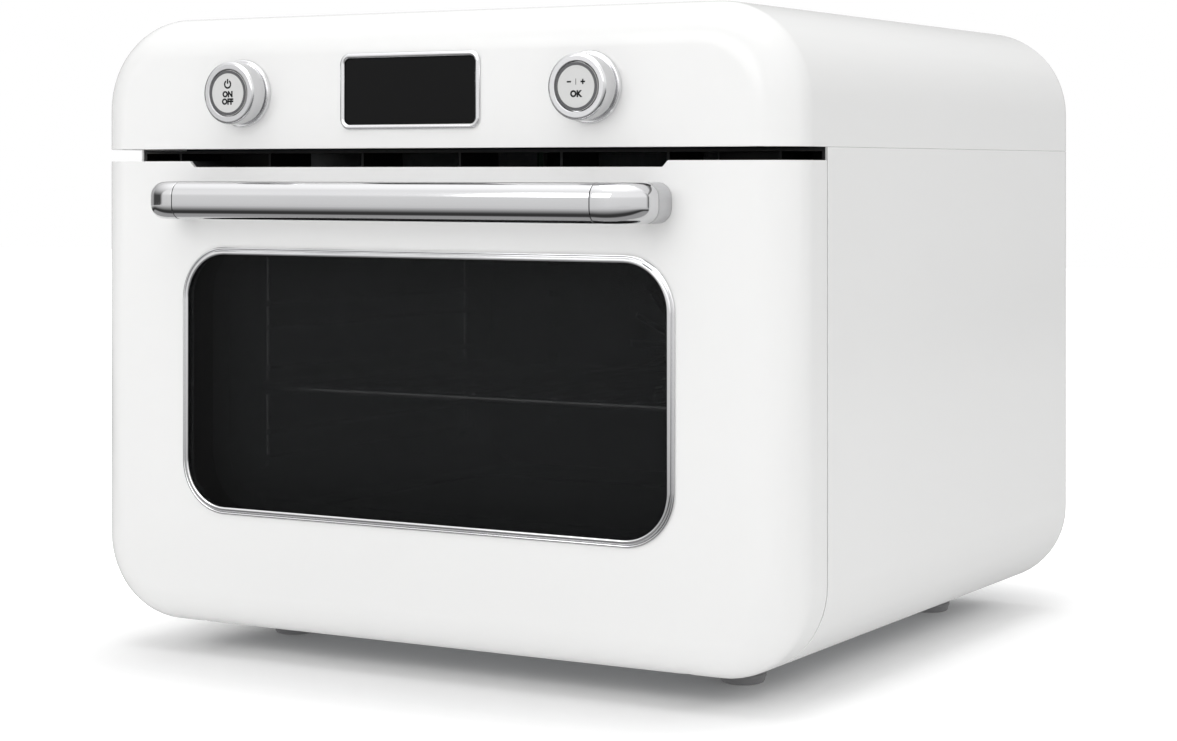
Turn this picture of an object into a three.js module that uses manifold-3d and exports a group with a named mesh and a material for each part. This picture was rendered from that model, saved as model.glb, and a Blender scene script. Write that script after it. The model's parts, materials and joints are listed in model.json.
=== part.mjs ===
// A countertop steam oven with a drop-down front door, built from its separate pieces.
// Millimetres. X runs to the right, Y from the front face to the back, Z up from the body's underside.
// The exported group then puts the origin under the middle of the oven, at the foot of its feet.

import * as THREE from "three";
import { mergeVertices } from "three/addons/utils/BufferGeometryUtils.js";
import Module from "manifold-3d";

const wasm = await Module();
wasm.setup();

// Outer body
const body_width = 480;
const body_height = 371;
const body_depth = 436;
const top_corner_radius = 56;
const bottom_corner_radius = 52;
const front_rim_radius = 25;
const rear_rim_radius = 12;
const shell_wall = 2;
const hood_lip = 7;
const base_slot_width = 4;
const base_slot_length = 46;
const base_slot_pitch = 12;
const base_slot_rows = 7;
const base_flange_height = 9;
const rear_vent_width = 5;
const rear_vent_length = 34;
const rear_vent_pitch = 11;
const rear_vent_columns = 10;
const rear_vent_margin = 46;
const rear_rib_depth = 3;

// Where the body divides into door, case and hood
const door_depth = 43.2;
const door_seam = 1.6;
const hood_room = 87.7;
const door_top = body_height - hood_room;
const slot_height = 7.3;
const hood_seam = 0.4;
const foot_height = 18;

// Clearances
const clearance = 0.3;
const running_clearance = 0.5;
const overrun = 6;
const weld_distance = 1e-4;

// Facets
const corner_steps = 6;
const inner_corner_steps = 4;
const rim_steps = 4;
const rear_rim_steps = 2;
const small_corner_steps = 2;
const round_sides = 20;
const inner_sides = 14;
const pin_sides = 10;
const wire_sides = 6;
const tube_sides = 5;
const terminal_sides = 12;
const blade_steps = 4;
const swing_sides = 40;
const bend_steps = 3;
const gentle_turn = 0.5;
const dome_steps = 4;
const ring_steps = 22;

// Door hinge: a low pin behind the lower front rim
const pivot_depth = 14;
const pivot_rise = 13;
const swing_clearance = 0.5;
const pin_radius = 2.5;
const eye_radius = 5.5;
const arm_inset = 72;
const arm_offset = body_width / 2 - arm_inset;
const arm_thickness = 4;
const lug_thickness = 4;
const arm_length = 70;
const arm_foot_width = 14;
const notch_margin = 0.8;
const neck_start = 8;
const neck_lift = 3;
const neck_height = 5;
const pin_head_radius = 2.95;

// Window in the door
const window_side_room = 75;
const window_width = body_width - 2 * window_side_room;
const window_bottom = 75;
const window_top_room = 56.3;
const window_top = door_top - window_top_room;
const window_corner_radius = 27;
const glass_thickness = 4;
const trim_lip = 1.2;
const trim_wall = 1.2;
const trim_flange_width = 4.6;
const trim_flange_height = 0.9;
const trim_proud = 2.1;
const trim_depth = 6;
const liner_wall = 2;
const liner_recess = 3;
const seal_land = 24;
const inner_window_margin = 9;

// Recess along the middle of the door's top edge
const recess_side_room = 75;
const recess_width = body_width - 2 * recess_side_room;
const recess_depth = 3.6;
const recess_slope = 3.4;

// Door handle
const handle_reach = 40;
const handle_height = 22.5;
const handle_wall = 2;
const handle_drop = 23.3;
const handle_rise = door_top - handle_drop;
const handle_inset = 68.5;
const handle_half_length = body_width / 2 - handle_inset;
const handle_thickness = 19;
const handle_corner_radius = 7;
const handle_bend_radius = 25;
const handle_end_length = 29;
const handle_joint_gap = 0.4;
const handle_bend_steps = 6;
const spigot_radius = 6;
const spigot_length = 10;

// Controls
const control_drop = 47.2;
const control_rise = body_height - control_drop;
const knob_offset_share = 0.25;
const knob_offset = body_width * knob_offset_share;
const front_shift = -4;
const knob_flange_radius = 20.5;
const knob_radius = 18.7;
const knob_flange_height = 2.6;
const knob_height = 15;
const knob_face_radius = 13.5;
const knob_web_depth = 6;
const shaft_radius = 6.5;
const shaft_wall = 2.2;
const button_travel = 1.8;
const button_thickness = 3;
const button_stem_radius = 3.8;
const panel_hole_radius = 10.5;
const sleeve_wall = 2.4;
const display_width = 90;
const display_height = 38;
const display_corner_radius = 3;
const display_thickness = 3;
const bezel_width = 3.4;
const bezel_proud = 1.4;
const bezel_lip = 1.2;
const board_depth = 21;
const board_thickness = 1.6;
const board_overhang = 25;
const board_width = 2 * (knob_offset + board_overhang);
const board_height = 40;
const encoder_size = 24;
const encoder_depth = 11;
const board_boss_radius = 3.5;
const knob_edge_flat = 1;
const boss_spread = 84;
const boss_rise = 14;
const flange_edge_share = 0.45;
const knob_edge_radius = 2.2;
const display_module_gap = 1.5;
const connector_width = 22;
const connector_depth = 8;

// Cooking cavity
const cavity_side_room = 60;
const cavity_width = body_width - 2 * cavity_side_room;
const cavity_bottom = 64;
const cavity_top_room = 33.3;
const cavity_top = door_top - cavity_top_room;
const cavity_height = cavity_top - cavity_bottom;
const cavity_corner_radius = 20;
const cavity_depth_room = 114;
const cavity_depth = body_depth - cavity_depth_room;
const liner_sheet = 1.5;
const flange_width = 9;
const floor_dish_margin = 34;
const floor_dish_depth = 2;
const seal_width = 6;
const seal_proud = 3;
const seal_inset = 4;
const frame_thickness = 2;
const insulation_thickness = 13;
const insulation_bottom_thickness = 10;
const lower_element_room = 9;
const deck_thickness = 1.5;
const deck_drop = 17.3;
const deck_rise = door_top - deck_drop;
const insulation_corner_radius = 10;
const seal_crown_share = 0.7;
const deck_margin = 10;
const deck_flange = 12;

// Heating elements, all of one tube
const element_radius = 3.2;
const element_bend = 13;
const terminal_length = 22;
const element_sides = 6;
const terminal_spacing = 26;
const grill_drop = 10;
const grill_side_room = 55;
const grill_width = cavity_width - 2 * grill_side_room;
const grill_front = 92;
const ring_terminal_rise = 6.4;
const lower_rear_room = 52;
const lower_inner_room = 104;
const grill_step = 26;

// Fan behind its cover
const cover_side_room = 55;
const cover_width = cavity_width - 2 * cover_side_room;
const cover_end_room = 15;
const cover_height = cavity_height - 2 * cover_end_room;
const fan_radius_share = 0.38462;
const fan_radius = cover_height * fan_radius_share;
const fan_depth = 16;
const fan_blades = 10;
const fan_hub_radius = 13;
const fan_plate = 1.5;
const fan_shaft_radius = 3;
const cover_depth = 32;
const cover_corner_radius = 24;
const cover_sheet = 1.5;
const motor_radius_share = 0.21154;
const motor_radius = cover_height * motor_radius_share;
const motor_length = 40;
const ring_radius_share = 0.44231;
const ring_element_radius = cover_height * ring_radius_share;
const blade_bow_share = 0.25;
const fan_lean = 0.42;
const fan_blade_thickness = 1.6;
const motor_can_share = 0.82;
const motor_ribs = 4;
const cover_slots = 14;
const intake_radius_share = 0.29487;
const cover_intake_radius = cover_height * intake_radius_share;
const cover_eye_radius = 15;
const cover_slot_width = 4.5;
const cover_vents = 6;
const vent_pitch_share = 0.14103;
const cover_vent_pitch = cover_height * vent_pitch_share;
const cover_vent_length = 11;

// Shelf wires
const support_wire_radius = 2;
const support_front = 86;
const support_rear_room = 118;
const support_rear = body_depth - support_rear_room;
const support_end_room = 24;
const support_bottom = cavity_bottom + support_end_room;
const support_top = cavity_top - support_end_room;
const support_inset = 8.8;
const rung_shares = [0.16667, 0.25269, 0.39247, 0.47312, 0.6129, 0.69355];
const rung_rises = rung_shares.map((share) => cavity_bottom + share * cavity_height);
const rack_rim_radius = 2.4;
const rack_wire_radius = 1.6;
const rack_front = 62;
const rack_rear_room = 124;
const rack_rear = body_depth - rack_rear_room;
const rack_bars = 11;
const support_bend = 6;
const rack_bend = 12;
const bar_rise_share = 0.8;

// Water and steam
const tank_left_room = 90;
const tank_right_room = 180;
const tank_left = tank_left_room - body_width / 2;
const tank_width = body_width - tank_left_room - tank_right_room;
const tank_depth = 220;
const tank_height = 33;
const tank_wall = 2;
const tank_corner_radius = 8;
const tank_lid_thickness = 2;
const pump_radius = 15;
const pump_length = 58;
const boiler_width = 26;
const boiler_depth = 88;
const boiler_height = 72;
const pipe_radius = 4;
const hose_radius = 3.5;
const bulb_radius = 5;
const socket_radius = 10;
const steam_setback = 84;
const boiler_drop = 16;
const fill_hole_radius = 7;
const grip_margin = 4;
const hose_run = 21;
const hose_bend = 14;
const pipe_bend = 8;
const boiler_inlet = 22;
const lamp_lens_radius = 20;
const lamp_lens_dome = 4;
const lamp_length = 18;
const lamp_drop = 42;
const steam_drop = 30;
const grip_width = 60;
const grip_depth = 9;
const fill_share = 0.3;
const pump_cradle = 2;
const cradle_share = 0.8;
const boiler_ribs = 7;
const boiler_rib_depth = 4;

// Cooling blower above the cavity
const rotor_radius = 42;
const rotor_height = 26;
const rotor_blades = 12;
const scroll_wall = 1.6;
const scroll_gap = 4;
const scroll_growth = 22;
const outlet_width = 46;
const duct_mouth_room = 90;
const duct_mouth_width = body_width - 2 * duct_mouth_room;
const grille_depth = 44;
const grille_rib = 1.6;
const grille_pitch = 70;
const grille_height = 14;
const blower_rear_room = 126;
const duct_setback = 44;
const duct_overlap = 12;
const relay_count = 3;
const relay_size = 19.3;
const relay_pitch = 27;
const transformer_width = 38.6;
const transformer_height = 31;
const capacitor_radius = 9.7;
const capacitor_height = 29;
const sink_base = 3.2;
const fin_pitch = 9.7;
const fin_height = 25;
const grille_setback = 0.6;
const grille_upstand = 12;
const scroll_steps = 26;
const scroll_share = 0.72;
const inlet_share = 0.72;
const stator_share = 0.3;
const blade_inner_share = 0.76;
const rotor_lean = 0.2;
const power_board_room = 124;
const power_board_width = body_width / 2 - power_board_room;
const power_board_depth = 150;
const standoff = 6;
const sink_fins = 6;

// Feet and the outlet for the mains lead
const foot_radius = 17;
const foot_inset = 56;
const foot_stem_radius = 4.5;
const gland_radius = 11;
const gland_bore_radius = 4.5;
const gland_projection = 6;
const foot_taper_share = 0.8;
const foot_edge = 2;

// Places worked out from the sizes above
const case_front = door_depth + door_seam;
const hood_bottom = door_top + slot_height;
const side_top = hood_bottom - hood_seam;
const base_half_width = body_width / 2 - bottom_corner_radius;
const frame_back = case_front + frame_thickness;
const cavity_front = frame_back + clearance;
const cavity_rear = cavity_front + cavity_depth;
const cavity_middle = (cavity_bottom + cavity_top) / 2;
const window_height = window_top - window_bottom;
const window_middle = (window_top + window_bottom) / 2;
const quarter_turn = Math.PI / 2;
const full_turn = Math.PI * 2;

// Solid modelling helpers

function solidOf(geometry) {
  const bare = geometry.clone();
  bare.deleteAttribute("normal");
  bare.deleteAttribute("uv");
  const merged = mergeVertices(bare, weld_distance);
  const triangles = new Uint32Array(merged.index.array);
  const made = asManifold(merged.attributes.position.array, triangles);
  if (made.volume() > 0) return made;
  return asManifold(merged.attributes.position.array, triangles.reverse());
}

function asManifold(vertProperties, triVerts) {
  return new wasm.Manifold(new wasm.Mesh({ numProp: 3, vertProperties, triVerts }));
}

function geometryOf(solid) {
  const made = solid.getMesh();
  const geometry = new THREE.BufferGeometry();
  geometry.setAttribute("position", new THREE.BufferAttribute(made.vertProperties, made.numProp));
  geometry.setIndex(new THREE.BufferAttribute(made.triVerts, 1));
  const faceted = geometry.toNonIndexed();
  faceted.computeVertexNormals();
  return faceted;
}

function joined(solids) {
  return solids.reduce((whole, piece) => whole.add(piece));
}

function without(solid, cuts) {
  return cuts.reduce((left, cut) => left.subtract(cut), solid);
}

function block(low, high) {
  const size = high.map((value, axis) => value - low[axis]);
  const middle = high.map((value, axis) => (value + low[axis]) / 2);
  return solidOf(new THREE.BoxGeometry(...size).translate(...middle));
}

// Extrusions of a flat shape. The shape's own x and y lie along the two axes named.

const lay_xz = new THREE.Matrix4().makeBasis(
  new THREE.Vector3(1, 0, 0),
  new THREE.Vector3(0, 0, 1),
  new THREE.Vector3(0, -1, 0),
);
const lay_yz = new THREE.Matrix4().makeBasis(
  new THREE.Vector3(0, 1, 0),
  new THREE.Vector3(0, 0, 1),
  new THREE.Vector3(1, 0, 0),
);

// An arc in a shape is divided into twice its curveSegments
function extrusion(shape, depth, steps) {
  const options = { depth, bevelEnabled: false, curveSegments: steps / 2 };
  return new THREE.ExtrudeGeometry(shape, options);
}

function alongY(shape, from, to, steps = small_corner_steps) {
  return solidOf(extrusion(shape, to - from, steps).applyMatrix4(lay_xz).translate(0, to, 0));
}

function alongX(shape, from, to, steps = small_corner_steps) {
  return solidOf(extrusion(shape, to - from, steps).applyMatrix4(lay_yz).translate(from, 0, 0));
}

function alongZ(shape, from, to, steps = small_corner_steps) {
  return solidOf(extrusion(shape, to - from, steps).translate(0, 0, from));
}

function roundedRect(left, right, low, high, radius) {
  const shape = new THREE.Shape();
  shape.moveTo(left + radius, low);
  shape.absarc(right - radius, low + radius, radius, -quarter_turn, 0);
  shape.absarc(right - radius, high - radius, radius, 0, quarter_turn);
  shape.absarc(left + radius, high - radius, radius, quarter_turn, Math.PI);
  shape.absarc(left + radius, low + radius, radius, Math.PI, 3 * quarter_turn);
  return shape;
}

function centredRect(width, height, middle, radius) {
  return roundedRect(-width / 2, width / 2, middle - height / 2, middle + height / 2, radius);
}

function polygon(points) {
  return new THREE.Shape(points.map(([x, y]) => new THREE.Vector2(x, y)));
}

// A round bar between two depths, heights or widths, by the axis that it lies along

function barY(radius, from, to, x, z, sides = round_sides) {
  const bar = new THREE.CylinderGeometry(radius, radius, to - from, sides);
  return solidOf(bar.translate(x, (from + to) / 2, z));
}

function barZ(radius, from, to, x, y, sides = round_sides) {
  const bar = new THREE.CylinderGeometry(radius, radius, to - from, sides).rotateX(quarter_turn);
  return solidOf(bar.translate(x, y, (from + to) / 2));
}

function barX(radius, from, to, y, z, sides = round_sides) {
  const bar = new THREE.CylinderGeometry(radius, radius, to - from, sides).rotateZ(quarter_turn);
  return solidOf(bar.translate((from + to) / 2, y, z));
}

// A profile of [radius, distance along the axis] turned about an axis that lies along Y

function turned(profile, sides = round_sides) {
  const points = profile.map(([radius, along]) => new THREE.Vector2(radius, along));
  if (profile[0][0] > 0) points.push(points[0].clone());
  return new THREE.LatheGeometry(points, sides);
}

// Rings with equal counts of points, skinned into one closed solid

function loft(rings) {
  const count = rings[0].length;
  const last = (rings.length - 1) * count;
  const faces = [];
  for (let start = 0; start < last; start += count) {
    for (let i = 0; i < count; i++) {
      const a = start + i;
      const b = start + ((i + 1) % count);
      faces.push(a, b, b + count, a, b + count, a + count);
    }
  }
  for (let i = 1; i + 1 < count; i++) {
    faces.push(0, i + 1, i);
    faces.push(last, last + i, last + i + 1);
  }
  const geometry = new THREE.BufferGeometry().setFromPoints(rings.flat());
  return solidOf(geometry.setIndex(faces));
}

// A bent wire or tube: straight runs, with a rounded bend at each sharp corner

class BentPath extends THREE.Curve {
  constructor(corners, bend) {
    super();
    const places = corners.map((corner) => new THREE.Vector3(...corner));
    this.stops = places.flatMap((place, i) => {
      if (i === 0 || i === places.length - 1) return [place];
      return bendPoints(places[i - 1], place, places[i + 1], bend);
    });
  }
  getPoint(t, target = new THREE.Vector3()) {
    const along = t * (this.stops.length - 1);
    const index = Math.min(Math.floor(along), this.stops.length - 2);
    return target.lerpVectors(this.stops[index], this.stops[index + 1], along - index);
  }
  getPointAt(u, target) {
    return this.getPoint(u, target);
  }
  getTangentAt(u, target) {
    return this.getTangent(u, target);
  }
}

function bendPoints(before, corner, after, bend) {
  const back = before.clone().sub(corner);
  const ahead = after.clone().sub(corner);
  if (Math.PI - back.angleTo(ahead) < gentle_turn) return [corner];
  const reach = Math.min(bend, back.length() / 2, ahead.length() / 2);
  const start = corner.clone().addScaledVector(back.normalize(), reach);
  const end = corner.clone().addScaledVector(ahead.normalize(), reach);
  return new THREE.QuadraticBezierCurve3(start, corner, end).getPoints(bend_steps);
}

function wire(corners, radius, bend, sides = wire_sides) {
  const path = new BentPath(corners, bend);
  const section = new THREE.Shape();
  section.absarc(0, 0, radius, 0, full_turn);
  const steps = path.stops.length - 1;
  const options = { steps, extrudePath: path, curveSegments: sides / 2, bevelEnabled: false };
  return solidOf(new THREE.ExtrudeGeometry(section, options));
}

function mirrored(solid) {
  return solidOf(geometryOf(solid).scale(-1, 1, 1));
}

function sided(solid, side) {
  return side < 0 ? mirrored(solid) : solid;
}

// The outer body: a rounded rectangle lofted from front to back, with a rolled rim at both ends

function outline(inset, depth) {
  const right = body_width / 2;
  const quarters = [
    [1, body_height, top_corner_radius],
    [-1, body_height, top_corner_radius],
    [-1, 0, bottom_corner_radius],
    [1, 0, bottom_corner_radius],
  ];
  return quarters.flatMap(([side, edge, radius], quarter) => {
    const middle_x = side * (right - radius);
    const middle_z = edge > 0 ? edge - radius : radius;
    return Array.from({ length: corner_steps + 1 }, (_, step) => {
      const angle = (quarter + step / corner_steps) * quarter_turn;
      const x = middle_x + (radius - inset) * Math.cos(angle);
      return new THREE.Vector3(x, depth, middle_z + (radius - inset) * Math.sin(angle));
    });
  });
}

function envelope(inset) {
  const rings = [];
  const front_radius = front_rim_radius - inset;
  for (let step = 0; step <= rim_steps; step++) {
    const angle = (step / rim_steps) * quarter_turn;
    const ring_inset = front_rim_radius - front_radius * Math.sin(angle);
    rings.push(outline(ring_inset, front_rim_radius - front_radius * Math.cos(angle)));
  }
  const rear_radius = rear_rim_radius - inset;
  for (let step = 0; step <= rear_rim_steps; step++) {
    const angle = (step / rear_rim_steps) * quarter_turn;
    const ring_inset = rear_rim_radius - rear_radius * Math.cos(angle);
    rings.push(outline(ring_inset, body_depth - rear_rim_radius + rear_radius * Math.sin(angle)));
  }
  return loft(rings);
}

// A straight length of the body's outline, drawn in by an inset
function outlineBar(inset, from, to) {
  return loft([outline(inset, from), outline(inset, to)]);
}

const outer_body = envelope(0);
const inner_body = envelope(shell_wall);
const rear_opening = outlineBar(rear_rim_radius, body_depth - rear_rim_radius, body_depth + overrun);
const body_shell = without(outer_body, [inner_body, rear_opening]);

function within(solid, low, high) {
  return solid.intersect(block(low, high));
}

// Case

function hoodCover() {
  const upper_part = within(
    body_shell,
    [-body_width, -overrun, hood_bottom],
    [body_width, body_depth + overrun, body_height + overrun],
  );
  const lip_half = base_half_width;
  const lip_depth = shell_wall + hood_lip;
  const lip_low = [-lip_half, shell_wall / 2, hood_bottom];
  const lip = block(lip_low, [lip_half, lip_depth, hood_bottom + shell_wall]);
  const bosses = boardBosses();
  const cuts = [-1, 1].map((side) =>
    barY(panel_hole_radius, -overrun, shell_wall + overrun, front_shift + side * knob_offset, control_rise),
  );
  cuts.push(alongY(displayRect(bezel_lip + clearance), -overrun, shell_wall + overrun));
  return without(joined([upper_part, lip, ...bosses]), cuts);
}

function boardBosses() {
  const places = [-1, 1].flatMap((side) => [-1, 1].map((rise) => [side, rise]));
  return places.map(([side, rise]) => {
    const x = side * boss_spread;
    const z = control_rise + rise * boss_rise;
    return barY(board_boss_radius, shell_wall / 2, board_depth - clearance, x, z, pin_sides);
  });
}

function sidePanel(side) {
  const panel = within(
    body_shell,
    [base_half_width, case_front, -overrun],
    [body_width, body_depth + overrun, side_top],
  );
  return sided(panel, side);
}

function basePlate() {
  const half = base_half_width - clearance;
  const plate = within(
    body_shell,
    [-half, case_front, -overrun],
    [half, body_depth + overrun, rear_rim_radius],
  );
  const flange_back = body_depth - rear_rim_radius - overrun;
  const flange_low = [half - shell_wall, frame_back + clearance, 0];
  const flange = block(flange_low, [half, flange_back, base_flange_height]);
  const flanges = [flange, mirrored(flange)];
  const cuts = footPlaces().map(([x, y]) =>
    barZ(foot_stem_radius + clearance, -overrun, shell_wall + overrun, x, y, pin_sides),
  );
  return without(joined([plate, ...flanges]), [...cuts, ...baseSlots()]);
}

function baseSlots() {
  const middle = (case_front + body_depth) / 2;
  return [-1, 1].flatMap((side) =>
    Array.from({ length: base_slot_rows }, (_, row) => {
      const x = side * (base_half_width / 2);
      const y = middle + (row - (base_slot_rows - 1) / 2) * base_slot_pitch;
      const half = [base_slot_length / 2, base_slot_width / 2];
      const low = [x - half[0], y - half[1], -overrun];
      return block(low, [x + half[0], y + half[1], shell_wall + overrun]);
    }),
  );
}

function footPlaces() {
  const x = base_half_width - foot_inset / 2;
  const rows = [case_front + foot_inset, body_depth - foot_inset];
  return rows.flatMap((y) => [-x, x].map((side_x) => [side_x, y]));
}

function foot([x, y]) {
  const stem_top = shell_wall + foot_edge;
  const profile = [
    [0, -foot_height],
    [foot_radius * foot_taper_share - foot_edge, -foot_height],
    [foot_radius * foot_taper_share, -foot_height + foot_edge],
    [foot_radius, -clearance - foot_edge],
    [foot_radius, -clearance],
    [foot_stem_radius, -clearance],
    [foot_stem_radius, stem_top],
    [0, stem_top],
  ];
  return solidOf(turned(profile, pin_sides).rotateX(quarter_turn).translate(x, y, 0));
}

function rearPanel() {
  const panel = outlineBar(rear_rim_radius + clearance, body_depth - shell_wall, body_depth);
  const rib_shape = centredRect(cavity_width, cavity_height, cavity_middle, cavity_corner_radius);
  const inner_shape = centredRect(
    cavity_width - 2 * shell_wall,
    cavity_height - 2 * shell_wall,
    cavity_middle,
    cavity_corner_radius - shell_wall,
  );
  const rib = alongY(rib_shape, body_depth - rear_rib_depth - shell_wall, body_depth - shell_wall / 2)
    .subtract(alongY(inner_shape, body_depth - overrun - rear_rib_depth, body_depth));
  const [gland_x, gland_z] = glandPlace();
  const gland_hole = barY(gland_bore_radius + sleeve_wall + clearance, body_depth - overrun - shell_wall,
    body_depth + overrun, gland_x, gland_z);
  return without(panel.add(rib), [gland_hole, ...rearVents()]);
}

function rearVents() {
  const rows = [body_height - rear_vent_margin, deck_rise + rear_vent_length];
  return rows.flatMap((z) =>
    Array.from({ length: rear_vent_columns }, (_, column) => {
      const x = (column - (rear_vent_columns - 1) / 2) * rear_vent_pitch;
      const half = rear_vent_width / 2;
      return block(
        [x - half, body_depth - shell_wall - overrun, z - rear_vent_length / 2],
        [x + half, body_depth + overrun, z + rear_vent_length / 2 - overrun],
      );
    }),
  );
}

function glandPlace() {
  return [-base_half_width + foot_inset / 2, (rear_rim_radius + cavity_bottom) / 2];
}

function cableGland() {
  const [x, z] = glandPlace();
  const sleeve_radius = gland_bore_radius + sleeve_wall;
  const seat = body_depth + clearance;
  const profile = [
    [gland_bore_radius, body_depth - shell_wall - overrun],
    [sleeve_radius, body_depth - shell_wall - overrun],
    [sleeve_radius, seat],
    [gland_radius, seat],
    [gland_radius, seat + shell_wall],
    [sleeve_radius, body_depth + gland_projection],
    [gland_bore_radius, body_depth + gland_projection],
  ];
  return solidOf(turned(profile, inner_sides).translate(x, 0, z));
}

function mouthRect(margin) {
  return centredRect(
    cavity_width + 2 * margin,
    cavity_height + 2 * margin,
    cavity_middle,
    cavity_corner_radius + margin,
  );
}

function frontFrame() {
  const inset = shell_wall + clearance;
  const face = within(
    outlineBar(inset, case_front, frame_back),
    [-body_width, 0, 0],
    [body_width, frame_back + overrun, grilleFloor() - clearance],
  );
  const mouth = alongY(mouthRect(0), case_front - overrun, frame_back + overrun, inner_corner_steps);
  const notches = [-1, 1].map((side) => sided(armNotch(case_front - overrun, frame_back + overrun), side));
  return without(face, [mouth, tankOpening(), ...notches]);
}

function tankOpening() {
  const shape = tankRect(clearance);
  return alongY(shape, case_front - overrun, frame_back + overrun);
}

function grilleFloor() {
  return deck_rise + deck_thickness + clearance;
}

// A moulded channel across the top of the front frame, which lets the cooling air out above the door.
// Its upstand keeps the warm air, and any light from behind, out of the gap under the hood.

function ventGrille() {
  const half = body_width / 2 - shell_wall - clearance;
  const roof = side_top - clearance;
  const floor = roof - grille_height;
  const front = case_front + grille_setback;
  const back = case_front + grille_depth;
  const plates = [
    block([-half, front, roof - grille_rib], [half, back, roof]),
    block([-half, front, floor], [half, back, floor + grille_rib]),
    block([-half, front, grilleFloor()], [half, front + grille_rib, floor + grille_rib]),
    block([-half, back - grille_rib, roof - grille_rib], [half, back, roof + grille_upstand]),
  ];
  const count = 2 * Math.floor(half / grille_pitch) + 1;
  const ribs = Array.from({ length: count }, (_, i) => {
    const left = (i - (count - 1) / 2) * grille_pitch - grille_rib / 2;
    return block([left, front + grille_rib, floor], [left + grille_rib, back, roof]);
  });
  const end = block([half - grille_rib, front, floor], [half, back, roof]);
  const mouth = duct_mouth_width / 2 + scroll_wall;
  const rear_wall = block([mouth, back - grille_rib, floor], [half, back, roof]);
  return joined([...plates, ...ribs, end, rear_wall, mirrored(end.add(rear_wall))]);
}

// Door: a pressed skin that wraps round the front, closed behind by a liner with the inner glass

function recessCut(grow) {
  const half = recess_width / 2 + grow;
  const low = door_top - recess_depth - grow;
  const high = door_top + overrun;
  const spread = recess_slope * (high - low) / recess_depth;
  const section = polygon([[-half + recess_slope, low], [half - recess_slope, low],
    [half - recess_slope + spread, high], [-half + recess_slope - spread, high]]);
  return alongY(section, -overrun, door_depth + overrun);
}

// The lower rear edge is rounded about the hinge pin, so that it clears the case as the door swings
function swingCut(grow) {
  const reach = case_front - swing_clearance - pivot_depth - grow;
  const corner = block([-body_width, pivot_depth, -overrun], [body_width, case_front, pivot_rise]);
  return corner.subtract(barX(reach, -body_width - overrun, body_width + overrun, pivot_depth, pivot_rise,
    swing_sides));
}

function doorBlock(inset, depth) {
  const room = within(
    inset > 0 ? inner_body : outer_body,
    [-body_width, -overrun, -overrun],
    [body_width, depth, door_top - inset],
  );
  return without(room, [recessCut(inset), swingCut(inset)]);
}

function windowRect(margin) {
  return centredRect(
    window_width + 2 * margin,
    window_height + 2 * margin,
    window_middle,
    window_corner_radius + margin,
  );
}

const sleeve_margin = trim_lip + clearance + trim_wall;

function doorSkin() {
  const shell = doorBlock(0, door_depth).subtract(doorBlock(shell_wall, door_depth + overrun));
  const opening = alongY(windowRect(sleeve_margin + clearance), -overrun, front_rim_radius, corner_steps);
  const cuts = [opening];
  for (const side of [-1, 1]) {
    cuts.push(barY(spigot_radius + clearance, -overrun, shell_wall + overrun,
      front_shift + side * postMiddle(), handle_rise, pin_sides));
    cuts.push(sided(skinNotch(), side));
  }
  return without(shell, cuts);
}

// The skin is slotted underneath where the fixed hinge arm passes out as the door opens
function skinNotch() {
  const front = pivot_depth + neck_lift - notch_margin;
  return armNotch(front, door_depth + overrun);
}

function armNotch(from, to) {
  const half = arm_thickness / 2 + notch_margin;
  const top = pivot_rise + neck_lift + neck_height + notch_margin;
  return block([arm_offset - half, from, -overrun], [arm_offset + half, to, top]);
}

function ringBetween(outer_margin, inner_margin, from, to) {
  const ring = alongY(windowRect(outer_margin), from, to, corner_steps);
  return ring.subtract(alongY(windowRect(inner_margin), from - overrun, to + overrun, corner_steps));
}

function windowTrim() {
  const flange_front = -clearance - trim_flange_height;
  return joined([
    ringBetween(trim_flange_width, 0, flange_front, -clearance),
    ringBetween(sleeve_margin, 0, -trim_proud, -clearance / 2),
    ringBetween(sleeve_margin, trim_lip + clearance, -clearance, trim_depth),
  ]);
}

function outerGlass() {
  return alongY(windowRect(trim_lip), 0, glass_thickness, corner_steps);
}

function landRect(margin) {
  return mouthRect(seal_inset + seal_width + seal_land / 2 + margin);
}

function doorLiner() {
  const front = door_depth - liner_wall;
  const sheet = doorBlock(shell_wall, door_depth).intersect(
    block([-body_width, front, 0], [body_width, door_depth, door_top]),
  );
  const inset_sheet = outlineBar(shell_wall + clearance, front - overrun, door_depth + overrun);
  const trimmed = within(
    sheet.intersect(inset_sheet),
    [-body_width, 0, 0],
    [body_width, case_front, door_top - shell_wall - clearance],
  );
  const pan_front = front - liner_recess;
  const pan = alongY(landRect(liner_wall), pan_front, door_depth - liner_wall / 2, inner_corner_steps);
  const hollow = alongY(landRect(0), pan_front + liner_wall, case_front, inner_corner_steps);
  const opening = alongY(windowRect(0), 0, case_front, inner_corner_steps);
  const lugs = [-1, 1].flatMap((side) => hingeLugs().map((lug) => sided(lug, side)));
  const notches = [-1, 1].map((side) => sided(armNotch(front - overrun, case_front), side));
  const edges = [recessCut(shell_wall + clearance), swingCut(shell_wall + clearance)];
  return without(joined([trimmed, pan, ...lugs]), [hollow, opening, ...edges, ...notches, ...pinBores()]);
}

function hingeLugs() {
  const back = door_depth - liner_wall / 2;
  const top = pivot_rise + 2 * eye_radius;
  const inner = arm_thickness / 2 + notch_margin;
  return [-1, 1].map((way) => {
    const near = arm_offset + way * inner;
    const far = near + way * lug_thickness;
    const low_x = Math.min(near, far);
    const high_x = Math.max(near, far);
    const web = polygon([
      [pivot_depth, pivot_rise - eye_radius],
      [back, pivot_rise - eye_radius],
      [back, top],
      [pivot_depth, pivot_rise + eye_radius],
    ]);
    const eye = barX(eye_radius, low_x, high_x, pivot_depth, pivot_rise, pin_sides);
    return alongX(web, low_x, high_x).add(eye);
  });
}

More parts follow.
